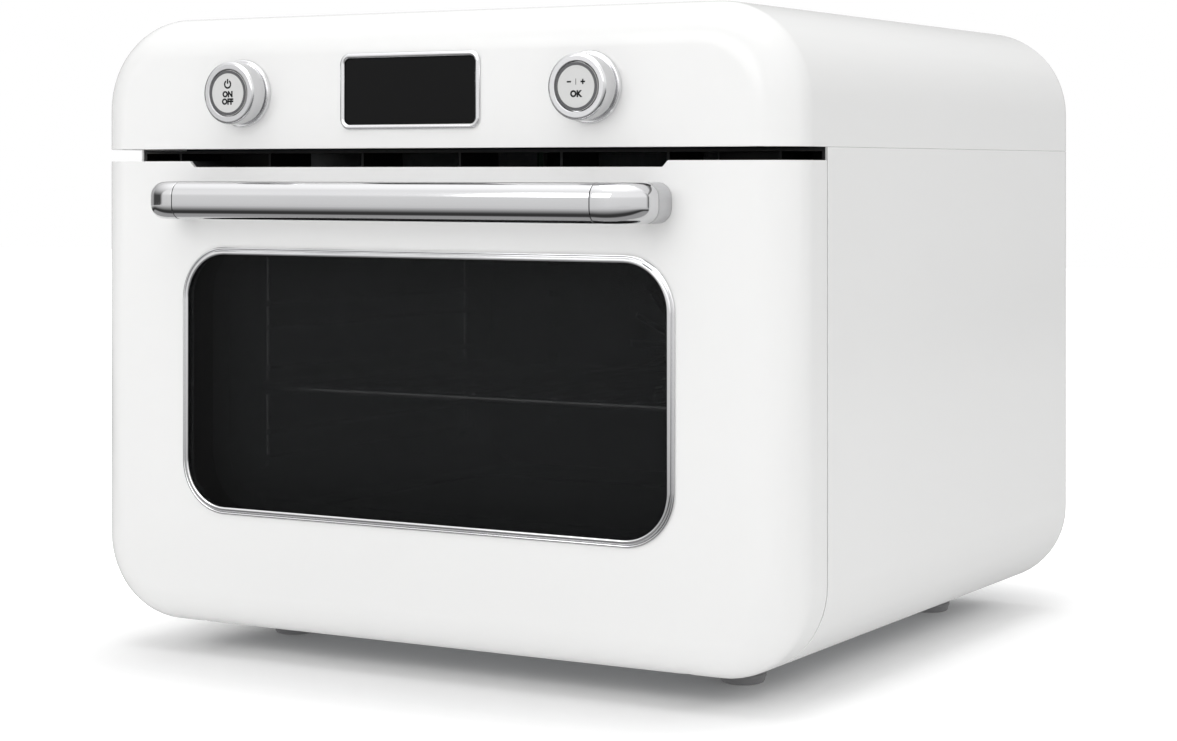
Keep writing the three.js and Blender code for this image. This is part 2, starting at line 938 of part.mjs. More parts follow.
function pinBores() {
  const reach = arm_thickness + 2 * lug_thickness + overrun;
  const bore_radius = pin_radius + clearance / 2;
  const bore = barX(bore_radius, arm_offset - reach, arm_offset + reach, pivot_depth, pivot_rise, pin_sides);
  return [bore, mirrored(bore)];
}

function hingePin(side) {
  const reach = arm_thickness / 2 + notch_margin + lug_thickness + clearance;
  const shank = barX(pin_radius, arm_offset - reach, arm_offset + reach, pivot_depth, pivot_rise, pin_sides);
  const head = barX(pin_head_radius, arm_offset - reach - shell_wall, arm_offset - reach,
    pivot_depth, pivot_rise, pin_sides);
  return sided(shank.add(head), side);
}

// The arm is cranked up behind its eye, so that the slot under the door can start far back
function hingeArm(side) {
  const low = arm_offset - arm_thickness / 2;
  const high = arm_offset + arm_thickness / 2;
  const rear = pivot_depth + arm_length;
  const foot_top = shell_wall + clearance + arm_thickness / 2;
  const neck_low = pivot_rise + neck_lift;
  const side_view = polygon([
    [pivot_depth, pivot_rise - eye_radius],
    [pivot_depth + neck_start, neck_low],
    [frame_back + clearance, neck_low],
    [frame_back + overrun, shell_wall + clearance],
    [rear, shell_wall + clearance],
    [rear, foot_top + eye_radius],
    [frame_back + overrun, neck_low + neck_height],
    [pivot_depth + neck_start, neck_low + neck_height],
    [pivot_depth, pivot_rise + eye_radius],
  ]);
  const eye = barX(eye_radius, low, high, pivot_depth, pivot_rise, pin_sides);
  const foot_plate = block([low - arm_foot_width, frame_back + overrun, shell_wall + clearance],
    [high, rear, foot_top]);
  const bore_radius = pin_radius + clearance / 2;
  const bore = barX(bore_radius, low - overrun, high + overrun, pivot_depth, pivot_rise, pin_sides);
  return sided(joined([alongX(side_view, low, high), eye, foot_plate]).subtract(bore), side);
}

function innerGlass() {
  const back = door_depth - liner_wall - liner_recess - clearance;
  return alongY(windowRect(inner_window_margin), back - glass_thickness, back, inner_corner_steps);
}

// Handle: one rounded section, carried along the front and bent back to the door at both ends

function handleSection(inset) {
  const shape = roundedRect(
    inset,
    handle_thickness - inset,
    handle_rise - handle_height / 2 + inset,
    handle_rise + handle_height / 2 - inset,
    handle_corner_radius - inset,
  );
  return shape.getPoints(small_corner_steps).slice(1);
}

// The section's ring where the bend has turned by an angle, moved on from there by a run along its way
function handleRing(angle, run, inset = 0) {
  const bend_x = handle_half_length - handle_bend_radius;
  const bend_y = -handle_reach + handle_bend_radius;
  const out = [Math.sin(angle), -Math.cos(angle)];
  return handleSection(inset).map((point) => {
    const reach = handle_bend_radius - point.x;
    const x = bend_x + reach * out[0] - run * out[1];
    return new THREE.Vector3(x, bend_y + reach * out[1] + run * out[0], point.y);
  });
}

function handleBar() {
  const joint = handle_half_length - handle_end_length - handle_joint_gap / 2;
  const from_bend = joint - (handle_half_length - handle_bend_radius);
  const span = 2 * joint;
  const bar = loft([handleRing(0, from_bend - span), handleRing(0, from_bend)]);
  const bore = loft([
    handleRing(0, from_bend - span - overrun, handle_wall),
    handleRing(0, from_bend + overrun, handle_wall),
  ]);
  return bar.subtract(bore).translate(front_shift, 0, 0);
}

function postMiddle() {
  return handle_half_length - handle_thickness / 2;
}

function handleEnd(side) {
  const start = handle_bend_radius - handle_end_length + handle_joint_gap / 2;
  const rings = [handleRing(0, start)];
  for (let step = 0; step <= handle_bend_steps; step++) {
    rings.push(handleRing((step / handle_bend_steps) * quarter_turn, 0));
  }
  rings.push(handleRing(quarter_turn, handle_reach - handle_bend_radius - clearance));
  const spigot = barY(spigot_radius, -clearance, spigot_length, postMiddle(), handle_rise, pin_sides);
  return sided(loft(rings).add(spigot), side).translate(front_shift, 0, 0);
}

// Door seal round the cavity mouth

function doorSeal() {
  const back = case_front - clearance;
  const front = back - seal_proud;
  const middle = back - seal_proud / 2;
  const crown_in = seal_inset + seal_width * (1 - seal_crown_share);
  const crown_out = seal_inset + seal_width * seal_crown_share;
  const foot_ring = alongY(mouthRect(seal_inset + seal_width), middle, back, inner_corner_steps);
  const crown = alongY(mouthRect(crown_out), front, back, inner_corner_steps);
  const bore = alongY(mouthRect(seal_inset), front - overrun, case_front, inner_corner_steps);
  const crown_bore = alongY(mouthRect(crown_in), front - overrun, middle, inner_corner_steps);
  return without(foot_ring.add(crown), [bore, crown_bore]);
}

// Controls on the hood's front

function displayRect(margin) {
  const half_width = display_width / 2 + margin;
  const half_height = display_height / 2 + margin;
  return roundedRect(
    front_shift - half_width,
    front_shift + half_width,
    control_rise - half_height,
    control_rise + half_height,
    display_corner_radius + margin,
  );
}

function displayBezel() {
  const rim = alongY(displayRect(bezel_width), -bezel_proud - clearance, -clearance);
  const sleeve = alongY(displayRect(bezel_lip), -bezel_proud, shell_wall + display_thickness);
  return rim.add(sleeve).subtract(alongY(displayRect(clearance), -overrun, board_depth));
}

function displayGlass() {
  return alongY(displayRect(0), -clearance, display_thickness);
}

function knobFlange(side) {
  const bore = shaft_radius + clearance;
  const sleeve_radius = panel_hole_radius - clearance;
  const profile = [
    [bore, -knob_flange_height],
    [knob_radius, -knob_flange_height],
    [knob_flange_radius, -knob_flange_height * flange_edge_share],
    [knob_flange_radius, -clearance],
    [sleeve_radius, -clearance],
    [sleeve_radius, shell_wall + sleeve_wall],
    [bore, shell_wall + sleeve_wall],
  ];
  return solidOf(turned(profile).translate(front_shift + side * knob_offset, 0, control_rise));
}

function knobRing(side) {
  const back = -knob_flange_height - clearance;
  const face_bore = knob_face_radius + running_clearance;
  const rim_middle = (face_bore + knob_radius) / 2;
  const web_front = -knob_height + knob_web_depth;
  const profile = [
    [shaft_radius - shaft_wall, encoderFront() - running_clearance],
    [shaft_radius - shaft_wall, web_front],
    [face_bore, web_front],
    [face_bore, -knob_height + knob_edge_radius / 2],
    [rim_middle - knob_edge_flat, -knob_height],
    [rim_middle + knob_edge_flat, -knob_height],
    [knob_radius - knob_edge_flat, -knob_height + knob_edge_flat],
    [knob_radius, -knob_height + knob_edge_radius],
    [knob_radius, back],
    [shaft_radius, back],
    [shaft_radius, encoderFront() - running_clearance],
  ];
  return solidOf(turned(profile).translate(front_shift + side * knob_offset, 0, control_rise));
}

function knobButton(side) {
  const front = -knob_height - clearance;
  const stem_end = encoderFront() - running_clearance - button_travel;
  const profile = [
    [0, front],
    [knob_face_radius - clearance, front],
    [knob_face_radius, front + clearance],
    [knob_face_radius, front + button_thickness],
    [button_stem_radius, front + button_thickness],
    [button_stem_radius, stem_end],
    [0, stem_end],
  ];
  return solidOf(turned(profile).translate(front_shift + side * knob_offset, 0, control_rise));
}

function encoderFront() {
  return board_depth - clearance - encoder_depth;
}

function encoder(side) {
  const half = encoder_size / 2;
  const x = front_shift + side * knob_offset;
  const low = [x - half, encoderFront(), control_rise - half];
  return block(low, [x + half, board_depth - clearance, control_rise + half]);
}

function displayBoard() {
  const half = board_width / 2;
  const low = control_rise - board_height / 2;
  const board = block([-half, board_depth, low], [half, board_depth + board_thickness, low + board_height]);
  const module_front = display_thickness + display_module_gap;
  const module = alongY(displayRect(-display_module_gap), module_front, board_depth + board_thickness / 2);
  const connectors = [-1, 1].map((side) => {
    const x = side * (display_width / 2 + connector_width);
    const z = control_rise - connector_depth;
    return block([x - connector_width / 2, board_depth + board_thickness / 2, z],
      [x + connector_width / 2, board_depth + board_thickness + connector_depth, z + connector_depth]);
  });
  return joined([board, module, ...connectors]);
}

// Cooking cavity and what hangs in it

function cavityBar(margin, from, to) {
  return alongY(mouthRect(margin), from, to, corner_steps);
}

function floorDish(margin, from_top) {
  const half = cavity_width / 2 - floor_dish_margin + margin;
  const front = cavity_front + floor_dish_margin - margin;
  const rear = cavity_rear - floor_dish_margin - cover_depth + margin;
  const shape = roundedRect(-half, half, front, rear, cavity_corner_radius + margin);
  return alongZ(shape, cavity_bottom - floor_dish_depth - margin, from_top);
}

function cavityLiner() {
  const walls = cavityBar(liner_sheet, cavity_front, cavity_rear + liner_sheet);
  const flange = cavityBar(flange_width, cavity_front, cavity_front + liner_sheet);
  const dish = floorDish(liner_sheet, cavity_bottom - liner_sheet / 2);
  const room = cavityBar(0, cavity_front - overrun, cavity_rear);
  const hollow = floorDish(0, cavity_bottom + liner_sheet);
  const shaft_bore = fan_shaft_radius + shell_wall;
  const rear = [cavity_rear - overrun, cavity_rear + overrun];
  const side = [cavity_width / 2 - overrun, cavity_width / 2 + overrun];
  const shaft_hole = barY(shaft_bore, ...rear, 0, cavity_middle, pin_sides);
  const lamp_hole = barX(lamp_lens_radius + clearance, ...side, lampDepth(), lampRise(), inner_sides);
  const steam_hole = barX(pipe_radius + clearance, ...side, steamDepth(), steamRise(), pin_sides);
  const cuts = [room, hollow, shaft_hole, lamp_hole, steam_hole, ...terminalHoles(cavity_rear)];
  return without(joined([walls, flange, dish]), cuts);
}

function terminalHoles(wall) {
  return terminalPlaces().map(([x, z]) =>
    barY(element_radius + clearance, wall - overrun, wall + overrun, x, z, terminal_sides),
  );
}

function terminalPlaces() {
  const x = terminal_spacing / 2;
  const grill_z = cavity_top - grill_drop;
  const ring_z = cavity_middle - ring_element_radius + ring_terminal_rise;
  return [[-x, grill_z], [x, grill_z], [-x, ring_z], [x, ring_z]];
}

function lampDepth() {
  return cavity_rear - cover_depth - lamp_drop;
}

function lampRise() {
  return cavity_top - lamp_drop;
}

function steamDepth() {
  return lampDepth() - steam_setback;
}

function steamRise() {
  return cavity_top - steam_drop;
}

function lampLens() {
  const wall = cavity_width / 2;
  const profile = [[0, -lamp_lens_dome]];
  for (let step = 1; step <= dome_steps; step++) {
    const angle = (step / dome_steps) * quarter_turn;
    profile.push([lamp_lens_radius * Math.sin(angle), -lamp_lens_dome * Math.cos(angle)]);
  }
  profile.push([lamp_lens_radius, liner_sheet]);
  profile.push([0, liner_sheet]);
  const dome = turned(profile, inner_sides).rotateZ(-quarter_turn);
  return solidOf(dome.translate(wall, lampDepth(), lampRise()));
}

function lampHousing() {
  const wall = cavity_width / 2 + liner_sheet + clearance;
  const y = lampDepth();
  const z = lampRise();
  const end = wall + lamp_length;
  const cup = barX(lamp_lens_radius + shell_wall, wall, end, y, z, inner_sides);
  const room = barX(lamp_lens_radius - shell_wall, wall - overrun, end - shell_wall, y, z, inner_sides);
  const bulb = barX(bulb_radius, wall + shell_wall, end, y, z, pin_sides);
  const socket = barX(socket_radius, end - shell_wall, end + overrun, y, z, pin_sides);
  return joined([cup.subtract(room), bulb, socket]);
}

// Glass-wool blanket round the liner, open in front, with holes where things pass through it

function insulation() {
  const front = cavity_front + liner_sheet + clearance;
  const gap = flange_width + clearance;
  const side = cavity_width / 2 + gap + insulation_thickness;
  const floor_in = cavity_bottom - floor_dish_depth - liner_sheet - lower_element_room;
  const low = floor_in - insulation_bottom_thickness;
  const high = deck_rise - clearance;
  const rear = cavity_rear + liner_sheet + clearance;
  const outer = block([-side, front, low], [side, rear + insulation_thickness, high]);
  const inner_half = cavity_width / 2 + liner_sheet + clearance;
  const inner_shape = roundedRect(-inner_half, inner_half, floor_in, cavity_top + liner_sheet + clearance,
    insulation_corner_radius);
  const inner = alongY(inner_shape, front - overrun, rear);
  const through_rear = [rear - overrun, rear + insulation_thickness + overrun];
  const through_side = [inner_half - overrun, side + overrun];
  const motor = barY(motor_radius + clearance, ...through_rear, 0, cavity_middle, inner_sides);
  const lamp_bore = lamp_lens_radius + shell_wall + clearance;
  const lamp_room = barX(lamp_bore, ...through_side, lampDepth(), lampRise(), inner_sides);
  const steam_room = barX(pipe_radius + shell_wall, ...through_side, steamDepth(), steamRise(), pin_sides);
  const terminals = terminalPlaces().map(([x, z]) =>
    barY(element_radius + shell_wall, ...through_rear, x, z, terminal_sides),
  );
  const lower_slot = block([-terminal_spacing, rear - overrun, floor_in],
    [terminal_spacing, rear + insulation_thickness + overrun, floor_in + lower_element_room]);
  return without(outer, [inner, motor, lamp_room, steam_room, ...terminals, lower_slot]);
}

// Elements: one tube bent into a shape, with both ends carried back through the rear wall

function terminalRear() {
  return cavity_rear + liner_sheet + insulation_thickness + terminal_length;
}

function grillElement() {
  const z = cavity_top - grill_drop;
  const x = terminal_spacing / 2;
  const back = cavity_rear - cover_depth - element_bend;
  const pitch = (grill_width / 2 - x - grill_step) / 2;
  const half = [
    [x, terminalRear(), z],
    [x, back, z],
    [x + pitch, back, z],
    [x + pitch, grill_front + grill_step, z],
    [x + 2 * pitch, grill_front + grill_step, z],
    [x + 2 * pitch, back, z],
    [grill_width / 2, back, z],
    [grill_width / 2, grill_front, z],
  ];
  return elementTube(half);
}

// The tube's other half mirrors the first
function elementTube(half) {
  const other = half.map(([x, y, z]) => [-x, y, z]).reverse();
  return wire([...half, ...other], element_radius, element_bend, element_sides);
}

function lowerElement() {
  const z = cavity_bottom - floor_dish_depth - liner_sheet - clearance - element_radius;
  const x = terminal_spacing / 2;
  const half = [
    [x, terminalRear(), z],
    [x, cavity_rear - lower_rear_room, z],
    [cavity_width / 2 - grill_step, cavity_rear - lower_rear_room, z],
    [cavity_width / 2 - grill_step, cavity_front + grill_step, z],
    [x + grill_step, cavity_front + grill_step, z],
    [x + grill_step, cavity_rear - lower_inner_room, z],
  ];
  return elementTube(half);
}

function ringElement() {
  const y = fanMiddle();
  const x = terminal_spacing / 2;
  const bottom = cavity_middle - ring_element_radius + ring_terminal_rise;
  const corners = [[x, terminalRear(), bottom]];
  const start = Math.asin(x / ring_element_radius);
  for (let step = 0; step <= ring_steps; step++) {
    const angle = start + (step / ring_steps) * (full_turn - 2 * start);
    const px = ring_element_radius * Math.sin(angle);
    corners.push([px, y, cavity_middle - ring_element_radius * Math.cos(angle)]);
  }
  corners[1][2] = bottom;
  corners[corners.length - 1][2] = bottom;
  corners.push([-x, terminalRear(), bottom]);
  return wire(corners, element_radius, element_bend / 2, element_sides);
}

function fanMiddle() {
  return cavity_rear - cover_depth / 2;
}

// Convection fan: a plate with curved blades that lean back, on the motor's shaft

function curvedBlade(inner, outer, lean, thickness) {
  const shape = new THREE.Shape();
  const tip = [outer * Math.cos(lean), outer * Math.sin(lean)];
  const middle = (inner + outer) / 2;
  const bow_angle = lean * blade_bow_share;
  const bow = [middle * Math.cos(bow_angle), middle * Math.sin(bow_angle)];
  shape.moveTo(inner, -thickness / 2);
  shape.quadraticCurveTo(bow[0], bow[1] - thickness / 2, tip[0], tip[1] - thickness / 2);
  shape.lineTo(tip[0] - thickness * blade_bow_share, tip[1] + thickness / 2);
  shape.quadraticCurveTo(bow[0] - thickness / 2, bow[1] + thickness / 2, inner, thickness / 2);
  return shape;
}

function convectionFan() {
  const front = fanMiddle() - fan_depth / 2;
  const back = fanMiddle() + fan_depth / 2;
  const plate = barY(fan_radius, back - fan_plate, back, 0, 0, inner_sides);
  const hub = barY(fan_hub_radius, front + fan_plate, back, 0, 0, inner_sides);
  const shaft = barY(fan_shaft_radius, front, cavity_rear + motor_length / 2, 0, 0, pin_sides);
  const root = fan_hub_radius - fan_plate;
  const shape = curvedBlade(root, fan_radius - fan_plate, fan_lean, fan_blade_thickness);
  const blades = Array.from({ length: fan_blades }, (_, i) => {
    const blade = extrusion(shape, fan_depth - fan_plate / 2, blade_steps).applyMatrix4(lay_xz);
    return solidOf(blade.translate(0, back - fan_plate / 2, 0).rotateY((i / fan_blades) * full_turn));
  });
  return solidOf(geometryOf(joined([plate, hub, shaft, ...blades])).translate(0, 0, cavity_middle));
}

function fanMotor() {
  const front = cavity_rear + liner_sheet + clearance;
  const mount = barY(motor_radius, front, front + shell_wall, 0, cavity_middle, inner_sides);
  const can_radius = motor_radius * motor_can_share;
  const rib_length = motor_length * motor_can_share;
  const can = barY(can_radius, front, front + motor_length, 0, cavity_middle, inner_sides);
  const ribs = Array.from({ length: motor_ribs }, (_, i) => {
    const angle = (i / motor_ribs) * Math.PI;
    const rib = new THREE.BoxGeometry(2 * motor_radius - shell_wall, rib_length, shell_wall);
    return solidOf(rib.rotateY(angle).translate(0, front + rib_length / 2, cavity_middle));
  });
  const bore_end = cavity_rear + motor_length / 2 + shell_wall;
  const bore = barY(fan_shaft_radius + clearance, front - overrun, bore_end, 0, cavity_middle, pin_sides);
  return joined([mount, can, ...ribs]).subtract(bore);
}

// Pressed baffle in front of the fan: a round grille to draw air in, louvres at the sides to let it out

function fanCover() {
  const front = cavity_rear - cover_depth;
  const back = cavity_rear - clearance;
  const outer = alongY(coverRect(0), front, back, inner_corner_steps);
  const inner = alongY(coverRect(-cover_sheet), front + cover_sheet, back + overrun, inner_corner_steps);
  const reach = cover_intake_radius - cover_eye_radius;
  const slots = Array.from({ length: cover_slots }, (_, i) => {
    const slot = new THREE.BoxGeometry(reach, 2 * overrun, cover_slot_width);
    const turned_slot = slot.translate(cover_eye_radius + reach / 2, front, 0);
    return solidOf(turned_slot.rotateY((i / cover_slots) * full_turn).translate(0, 0, cavity_middle));
  });
  const vents = [-1, 1].flatMap((side) =>
    Array.from({ length: cover_vents }, (_, row) => {
      const x = side * (cover_width / 2 - cover_corner_radius);
      const z = cavity_middle + (row - (cover_vents - 1) / 2) * cover_vent_pitch;
      const half = cover_vent_length;
      return block([x - half, front - overrun, z - cover_slot_width / 2],
        [x + half, front + overrun, z + cover_slot_width / 2]);
    }),
  );
  return without(outer, [inner, ...slots, ...vents]);
}

function coverRect(margin) {
  return centredRect(
    cover_width + 2 * margin,
    cover_height + 2 * margin,
    cavity_middle,
    cover_corner_radius + margin,
  );
}

// Ladder of shelf wires on one side wall

function rackSupport(side) {
  const x = cavity_width / 2 - support_inset;
  const rung_x = x - 2 * support_wire_radius + clearance;
  const wall = cavity_width / 2 - clearance;
  const uprights = [support_front, support_rear].map((y) =>
    wire([[wall, y, support_bottom], [x, y, support_bottom], [x, y, support_top], [wall, y, support_top]],
      support_wire_radius, support_bend),
  );
  const rungs = rung_rises.map((z) =>
    wire([[rung_x, support_front, z], [rung_x, support_rear, z]], support_wire_radius, support_bend),
  );
  return sided(joined([...uprights, ...rungs]), side);
}

function rackRise() {
  return rung_rises[2] + support_wire_radius + clearance + rack_rim_radius;
}

// Wire shelf: a rounded rim with bars from front to back that lie across it

function wireRack() {
  const z = rackRise();
  const x = cavity_width / 2 - support_inset - support_wire_radius - 2 * clearance - rack_rim_radius;
  const middle_y = (rack_front + rack_rear) / 2;
  const half_rim = [[x, middle_y, z], [x, rack_front, z], [-x, rack_front, z], [-x, middle_y, z]];
  const far_rim = [[-x, middle_y, z], [-x, rack_rear, z], [x, rack_rear, z], [x, middle_y, z]];
  const rims = [half_rim, far_rim].map((route) => wire(route, rack_rim_radius, rack_bend, wire_sides));
  const link = barY(rack_rim_radius, middle_y - overrun, middle_y + overrun, x, z, wire_sides);
  const pitch = (2 * x) / (rack_bars + 1);
  const bars = Array.from({ length: rack_bars }, (_, i) => {
    const bar_x = (i - (rack_bars - 1) / 2) * pitch;
    const rise = z + rack_rim_radius * bar_rise_share;
    return barY(rack_wire_radius, rack_front, rack_rear, bar_x, rise, wire_sides);
  });
  return joined([...rims, link, sided(link, -1), ...bars]);
}

// Water and steam

function tankTop() {
  return tankFloor() + tank_height;
}

function tankFloor() {
  return shell_wall + clearance;
}

function tankRect(margin) {
  return roundedRect(
    tank_left - margin,
    tank_left + tank_width + margin,
    tankFloor() - margin,
    tankTop() + tank_lid_thickness + 2 * clearance + margin,
    clearance,
  );
}

function tankPlan(margin) {
  return roundedRect(
    tank_left - margin,
    tank_left + tank_width + margin,
    case_front - margin,
    case_front + tank_depth + margin,
    tank_corner_radius + margin,
  );
}

function waterTank() {
  const body = alongZ(tankPlan(0), tankFloor(), tankTop());
  const room = alongZ(tankPlan(-tank_wall), tankFloor() + tank_wall, tankTop() + overrun);
  const middle = tank_left + tank_width / 2;
  const grip_low = tankFloor() + tank_wall;
  const grip_wall = block([middle - grip_width / 2 - tank_wall, case_front, tankFloor()],
    [middle + grip_width / 2 + tank_wall, case_front + grip_depth + tank_wall, tankTop()]);
  const grip = block([middle - grip_width / 2, case_front - overrun, grip_low],
    [middle + grip_width / 2, case_front + grip_depth, tankTop() - tank_wall]);
  return without(body, [room]).add(grip_wall.intersect(body)).subtract(grip);
}

function tankLid() {
  const low = tankTop() + clearance;
  const plate = alongZ(tankPlan(0), low, low + tank_lid_thickness);
  const plug = alongZ(tankPlan(-tank_wall - clearance), low - tank_lid_thickness, low + clearance);
  const middle = tank_left + tank_width / 2;
  const grip_room = block(
    [middle - grip_width / 2 - grip_margin, case_front - overrun, low - overrun],
    [middle + grip_width / 2 + grip_margin, case_front + grip_depth + grip_margin, low],
  );
  const fill_depth = case_front + tank_depth * fill_share;
  const hole = barZ(fill_hole_radius, low - overrun, low + overrun, middle, fill_depth);
  return without(plate.add(plug.subtract(grip_room)), [hole]);
}

function pumpPlace() {
  const z = shell_wall + clearance + pump_radius + pump_cradle;
  return [base_half_width - foot_inset, z];
}

function waterPump() {
  const [x, z] = pumpPlace();
  const front = case_front + tank_depth - pump_length;
  const can = barY(pump_radius, front, front + pump_length, x, z, inner_sides);
  const cradle_half = pump_radius * cradle_share;
  const cradle = block([x - cradle_half, front + shell_wall, shell_wall + clearance],
    [x + cradle_half, front + pump_length - shell_wall, z]);
  const rear = front + pump_length;
  const outlet = barY(hose_radius + shell_wall, rear - shell_wall, rear + overrun, x, z, pin_sides);
  const reach = tank_left + tank_width + 2 * clearance;
  const inlet = barX(hose_radius + shell_wall, reach, x, front + pump_length / 2, z, pin_sides);
  return joined([can, cradle, outlet, inlet]);
}

function boilerBox() {
  const side = cavity_width / 2 + flange_width + 2 * clearance + insulation_thickness;
  const y = steamDepth() - boiler_depth / 2;
  const z = steamRise() - boiler_drop - boiler_height;
  return { low: [side, y, z], high: [side + boiler_width, y + boiler_depth, z + boiler_height] };
}

function steamBoiler() {
  const { low, high } = boilerBox();
  const core = block(low, [high[0] - boiler_rib_depth, high[1], high[2]]);
  const pitch = boiler_height / boiler_ribs;
  const ribs = Array.from({ length: boiler_ribs }, (_, i) => {
    const z = low[2] + i * pitch;
    return block([low[0] + boiler_rib_depth, low[1] + boiler_rib_depth, z],
      [high[0], high[1] - boiler_rib_depth, z + pitch / 2]);
  });
  return joined([core, ...ribs]);
}

function steamPipe() {
  const { low, high } = boilerBox();
  const x = (low[0] + high[0] - boiler_rib_depth) / 2;
  const route = [
    [x, steamDepth(), high[2] + clearance],
    [x, steamDepth(), steamRise()],
    [cavity_width / 2 - liner_sheet, steamDepth(), steamRise()],
  ];
  return wire(route, pipe_radius, pipe_bend, tube_sides);
}

function waterHose() {
  const [x, z] = pumpPlace();
  const { low, high } = boilerBox();
  const start = case_front + tank_depth + overrun + clearance;
  const boiler_x = (low[0] + high[0] - boiler_rib_depth) / 2;
  const route = [
    [x, start, z],
    [x, start + hose_run, z],
    [boiler_x, start + hose_run, z + hose_run],
    [boiler_x, low[1] + boiler_inlet, z + 2 * hose_run],
    [boiler_x, low[1] + boiler_inlet, low[2] - clearance],
  ];
  return wire(route, hose_radius, hose_bend, tube_sides);
}

// Deck over the insulation, with the boards and the cooling blower

function deckPlate() {
  const half = body_width / 2 - shell_wall - deck_margin;
  const front = frame_back + clearance;
  const rear = body_depth - shell_wall - rear_rib_depth - deck_margin;
  const top = deck_rise + deck_thickness;
  const low = deck_rise - deck_flange;
  const inner = half - deck_thickness;
  const section = polygon([
    [-half, low], [-inner, low], [-inner, deck_rise], [inner, deck_rise],
    [inner, low], [half, low], [half, top], [-half, top],
  ]);
  const hole = barZ(rotor_radius / 2, deck_rise - overrun, top + overrun, ...blowerPlace(), inner_sides);
  return alongY(section, front, rear).subtract(hole);
}

function blowerPlace() {
  return [0, body_depth - blower_rear_room];
}

function blowerFloor() {
  return deck_rise + deck_thickness + clearance;
}

// Scroll whose radius grows evenly round the rotor to the outlet
function scrollShape(grow) {
  const [cx, cy] = blowerPlace();
  const base = rotor_radius + scroll_gap + grow;
  const points = [];
  for (let step = 0; step <= scroll_steps; step++) {
    const share = step / scroll_steps;
    const angle = Math.PI - share * full_turn * scroll_share;
    const radius = base + scroll_growth * share;
    points.push([cx + radius * Math.cos(angle), cy + radius * Math.sin(angle)]);
  }
  const mouth = ductRear() - (grow > 0 ? 0 : duct_overlap);
  points.push([cx - base + outlet_width + 2 * grow, mouth]);
  points.push([cx - base, mouth]);
  return polygon(points.reverse());
}

function ductRear() {
  const [, cy] = blowerPlace();
  return cy - rotor_radius - duct_setback;
}

function blowerHousing() {
  const floor = blowerFloor();
  const top = floor + rotor_height + 2 * scroll_gap;
  const [cx, cy] = blowerPlace();
  const case_solid = alongZ(scrollShape(scroll_wall), floor, top);
  const room = alongZ(scrollShape(0), floor + scroll_wall, top - scroll_wall);
  const inlet = barZ(rotor_radius * inlet_share, top - overrun, top + overrun, cx, cy, inner_sides);
  const motor = barZ(rotor_radius * stator_share, floor, floor + rotor_height / 2, cx, cy, pin_sides);
  return without(case_solid, [room, inlet]).add(motor);
}

function blowerRotor() {
  const [cx, cy] = blowerPlace();
  const floor = blowerFloor() + scroll_wall + scroll_gap / 2;
  const high = floor + rotor_height;
  const cup_inner = rotor_radius * stator_share + running_clearance;
  const cup_outer = cup_inner + scroll_wall;
  const profile = [
    [0, floor + rotor_height / 2 + scroll_gap],
    [cup_inner, floor + rotor_height / 2 + scroll_gap],
    [cup_inner, floor],
    [rotor_radius, floor],
    [rotor_radius, floor + scroll_wall],
    [cup_outer, floor + scroll_wall],
    [cup_outer, floor + rotor_height / 2 + scroll_gap + scroll_wall],
    [0, floor + rotor_height / 2 + scroll_gap + scroll_wall],
  ];
  const hub = solidOf(turned(profile, inner_sides).rotateX(quarter_turn).translate(cx, cy, 0));
  const inner = rotor_radius * blade_inner_share;
  const blades = Array.from({ length: rotor_blades }, (_, i) => {
    const shape = curvedBlade(inner, rotor_radius - clearance, -rotor_lean, scroll_wall);
    const blade = extrusion(shape, rotor_height - scroll_wall / 2, small_corner_steps);
    const turned_blade = blade.rotateZ((i / rotor_blades) * full_turn);
    return solidOf(turned_blade.translate(cx, cy, floor + scroll_wall / 2));
  });
  const rim_outer = barZ(rotor_radius, high - scroll_wall, high, cx, cy, inner_sides);
  const rim_bore = barZ(inner, high - overrun, high + overrun, cx, cy, inner_sides);
  return joined([hub, ...blades, rim_outer.subtract(rim_bore)]);
}

// Duct that spreads the blower's narrow outlet to the width of the grille

function ductRing(y, left, right, low, high, grow) {
  const x_places = [left - grow, right + grow, right + grow, left - grow];
  const z_places = [low - grow, low - grow, high + grow, high + grow];
  return x_places.map((x, i) => new THREE.Vector3(x, y, z_places[i]));
}

function airDuct() {
  const [cx] = blowerPlace();
  const rear = ductRear() - duct_overlap - clearance;
  const front = case_front + grille_depth + clearance;
  const roof = side_top - clearance;
  const left = cx - rotor_radius - scroll_gap;
  const rear_low = blowerFloor() + scroll_wall;
  const rear_high = blowerFloor() + rotor_height + scroll_gap;
  const half = duct_mouth_width / 2;
  const front_low = roof - grille_height + grille_rib;
  const front_high = roof - grille_rib;
  const shell = loft([
    ductRing(front, -half, half, front_low, front_high, scroll_wall),
    ductRing(rear, left, left + outlet_width, rear_low, rear_high, scroll_wall),
  ]);
  const slope_left = (left + half) / (rear - front);
  const slope_right = (left + outlet_width - half) / (rear - front);
  const slope_low = (rear_low - front_low) / (rear - front);
  const slope_high = (rear_high - front_high) / (rear - front);
  const room = loft([
    ductRing(front - overrun, -half - slope_left * overrun, half - slope_right * overrun,
      front_low - slope_low * overrun, front_high - slope_high * overrun, 0),
    ductRing(rear + overrun, left + slope_left * overrun, left + outlet_width + slope_right * overrun,
      rear_low + slope_low * overrun, rear_high + slope_high * overrun, 0),
  ]);
  return shell.subtract(room);
}

// Power board on stand-offs, with its transformer, relays, capacitor and heat sink

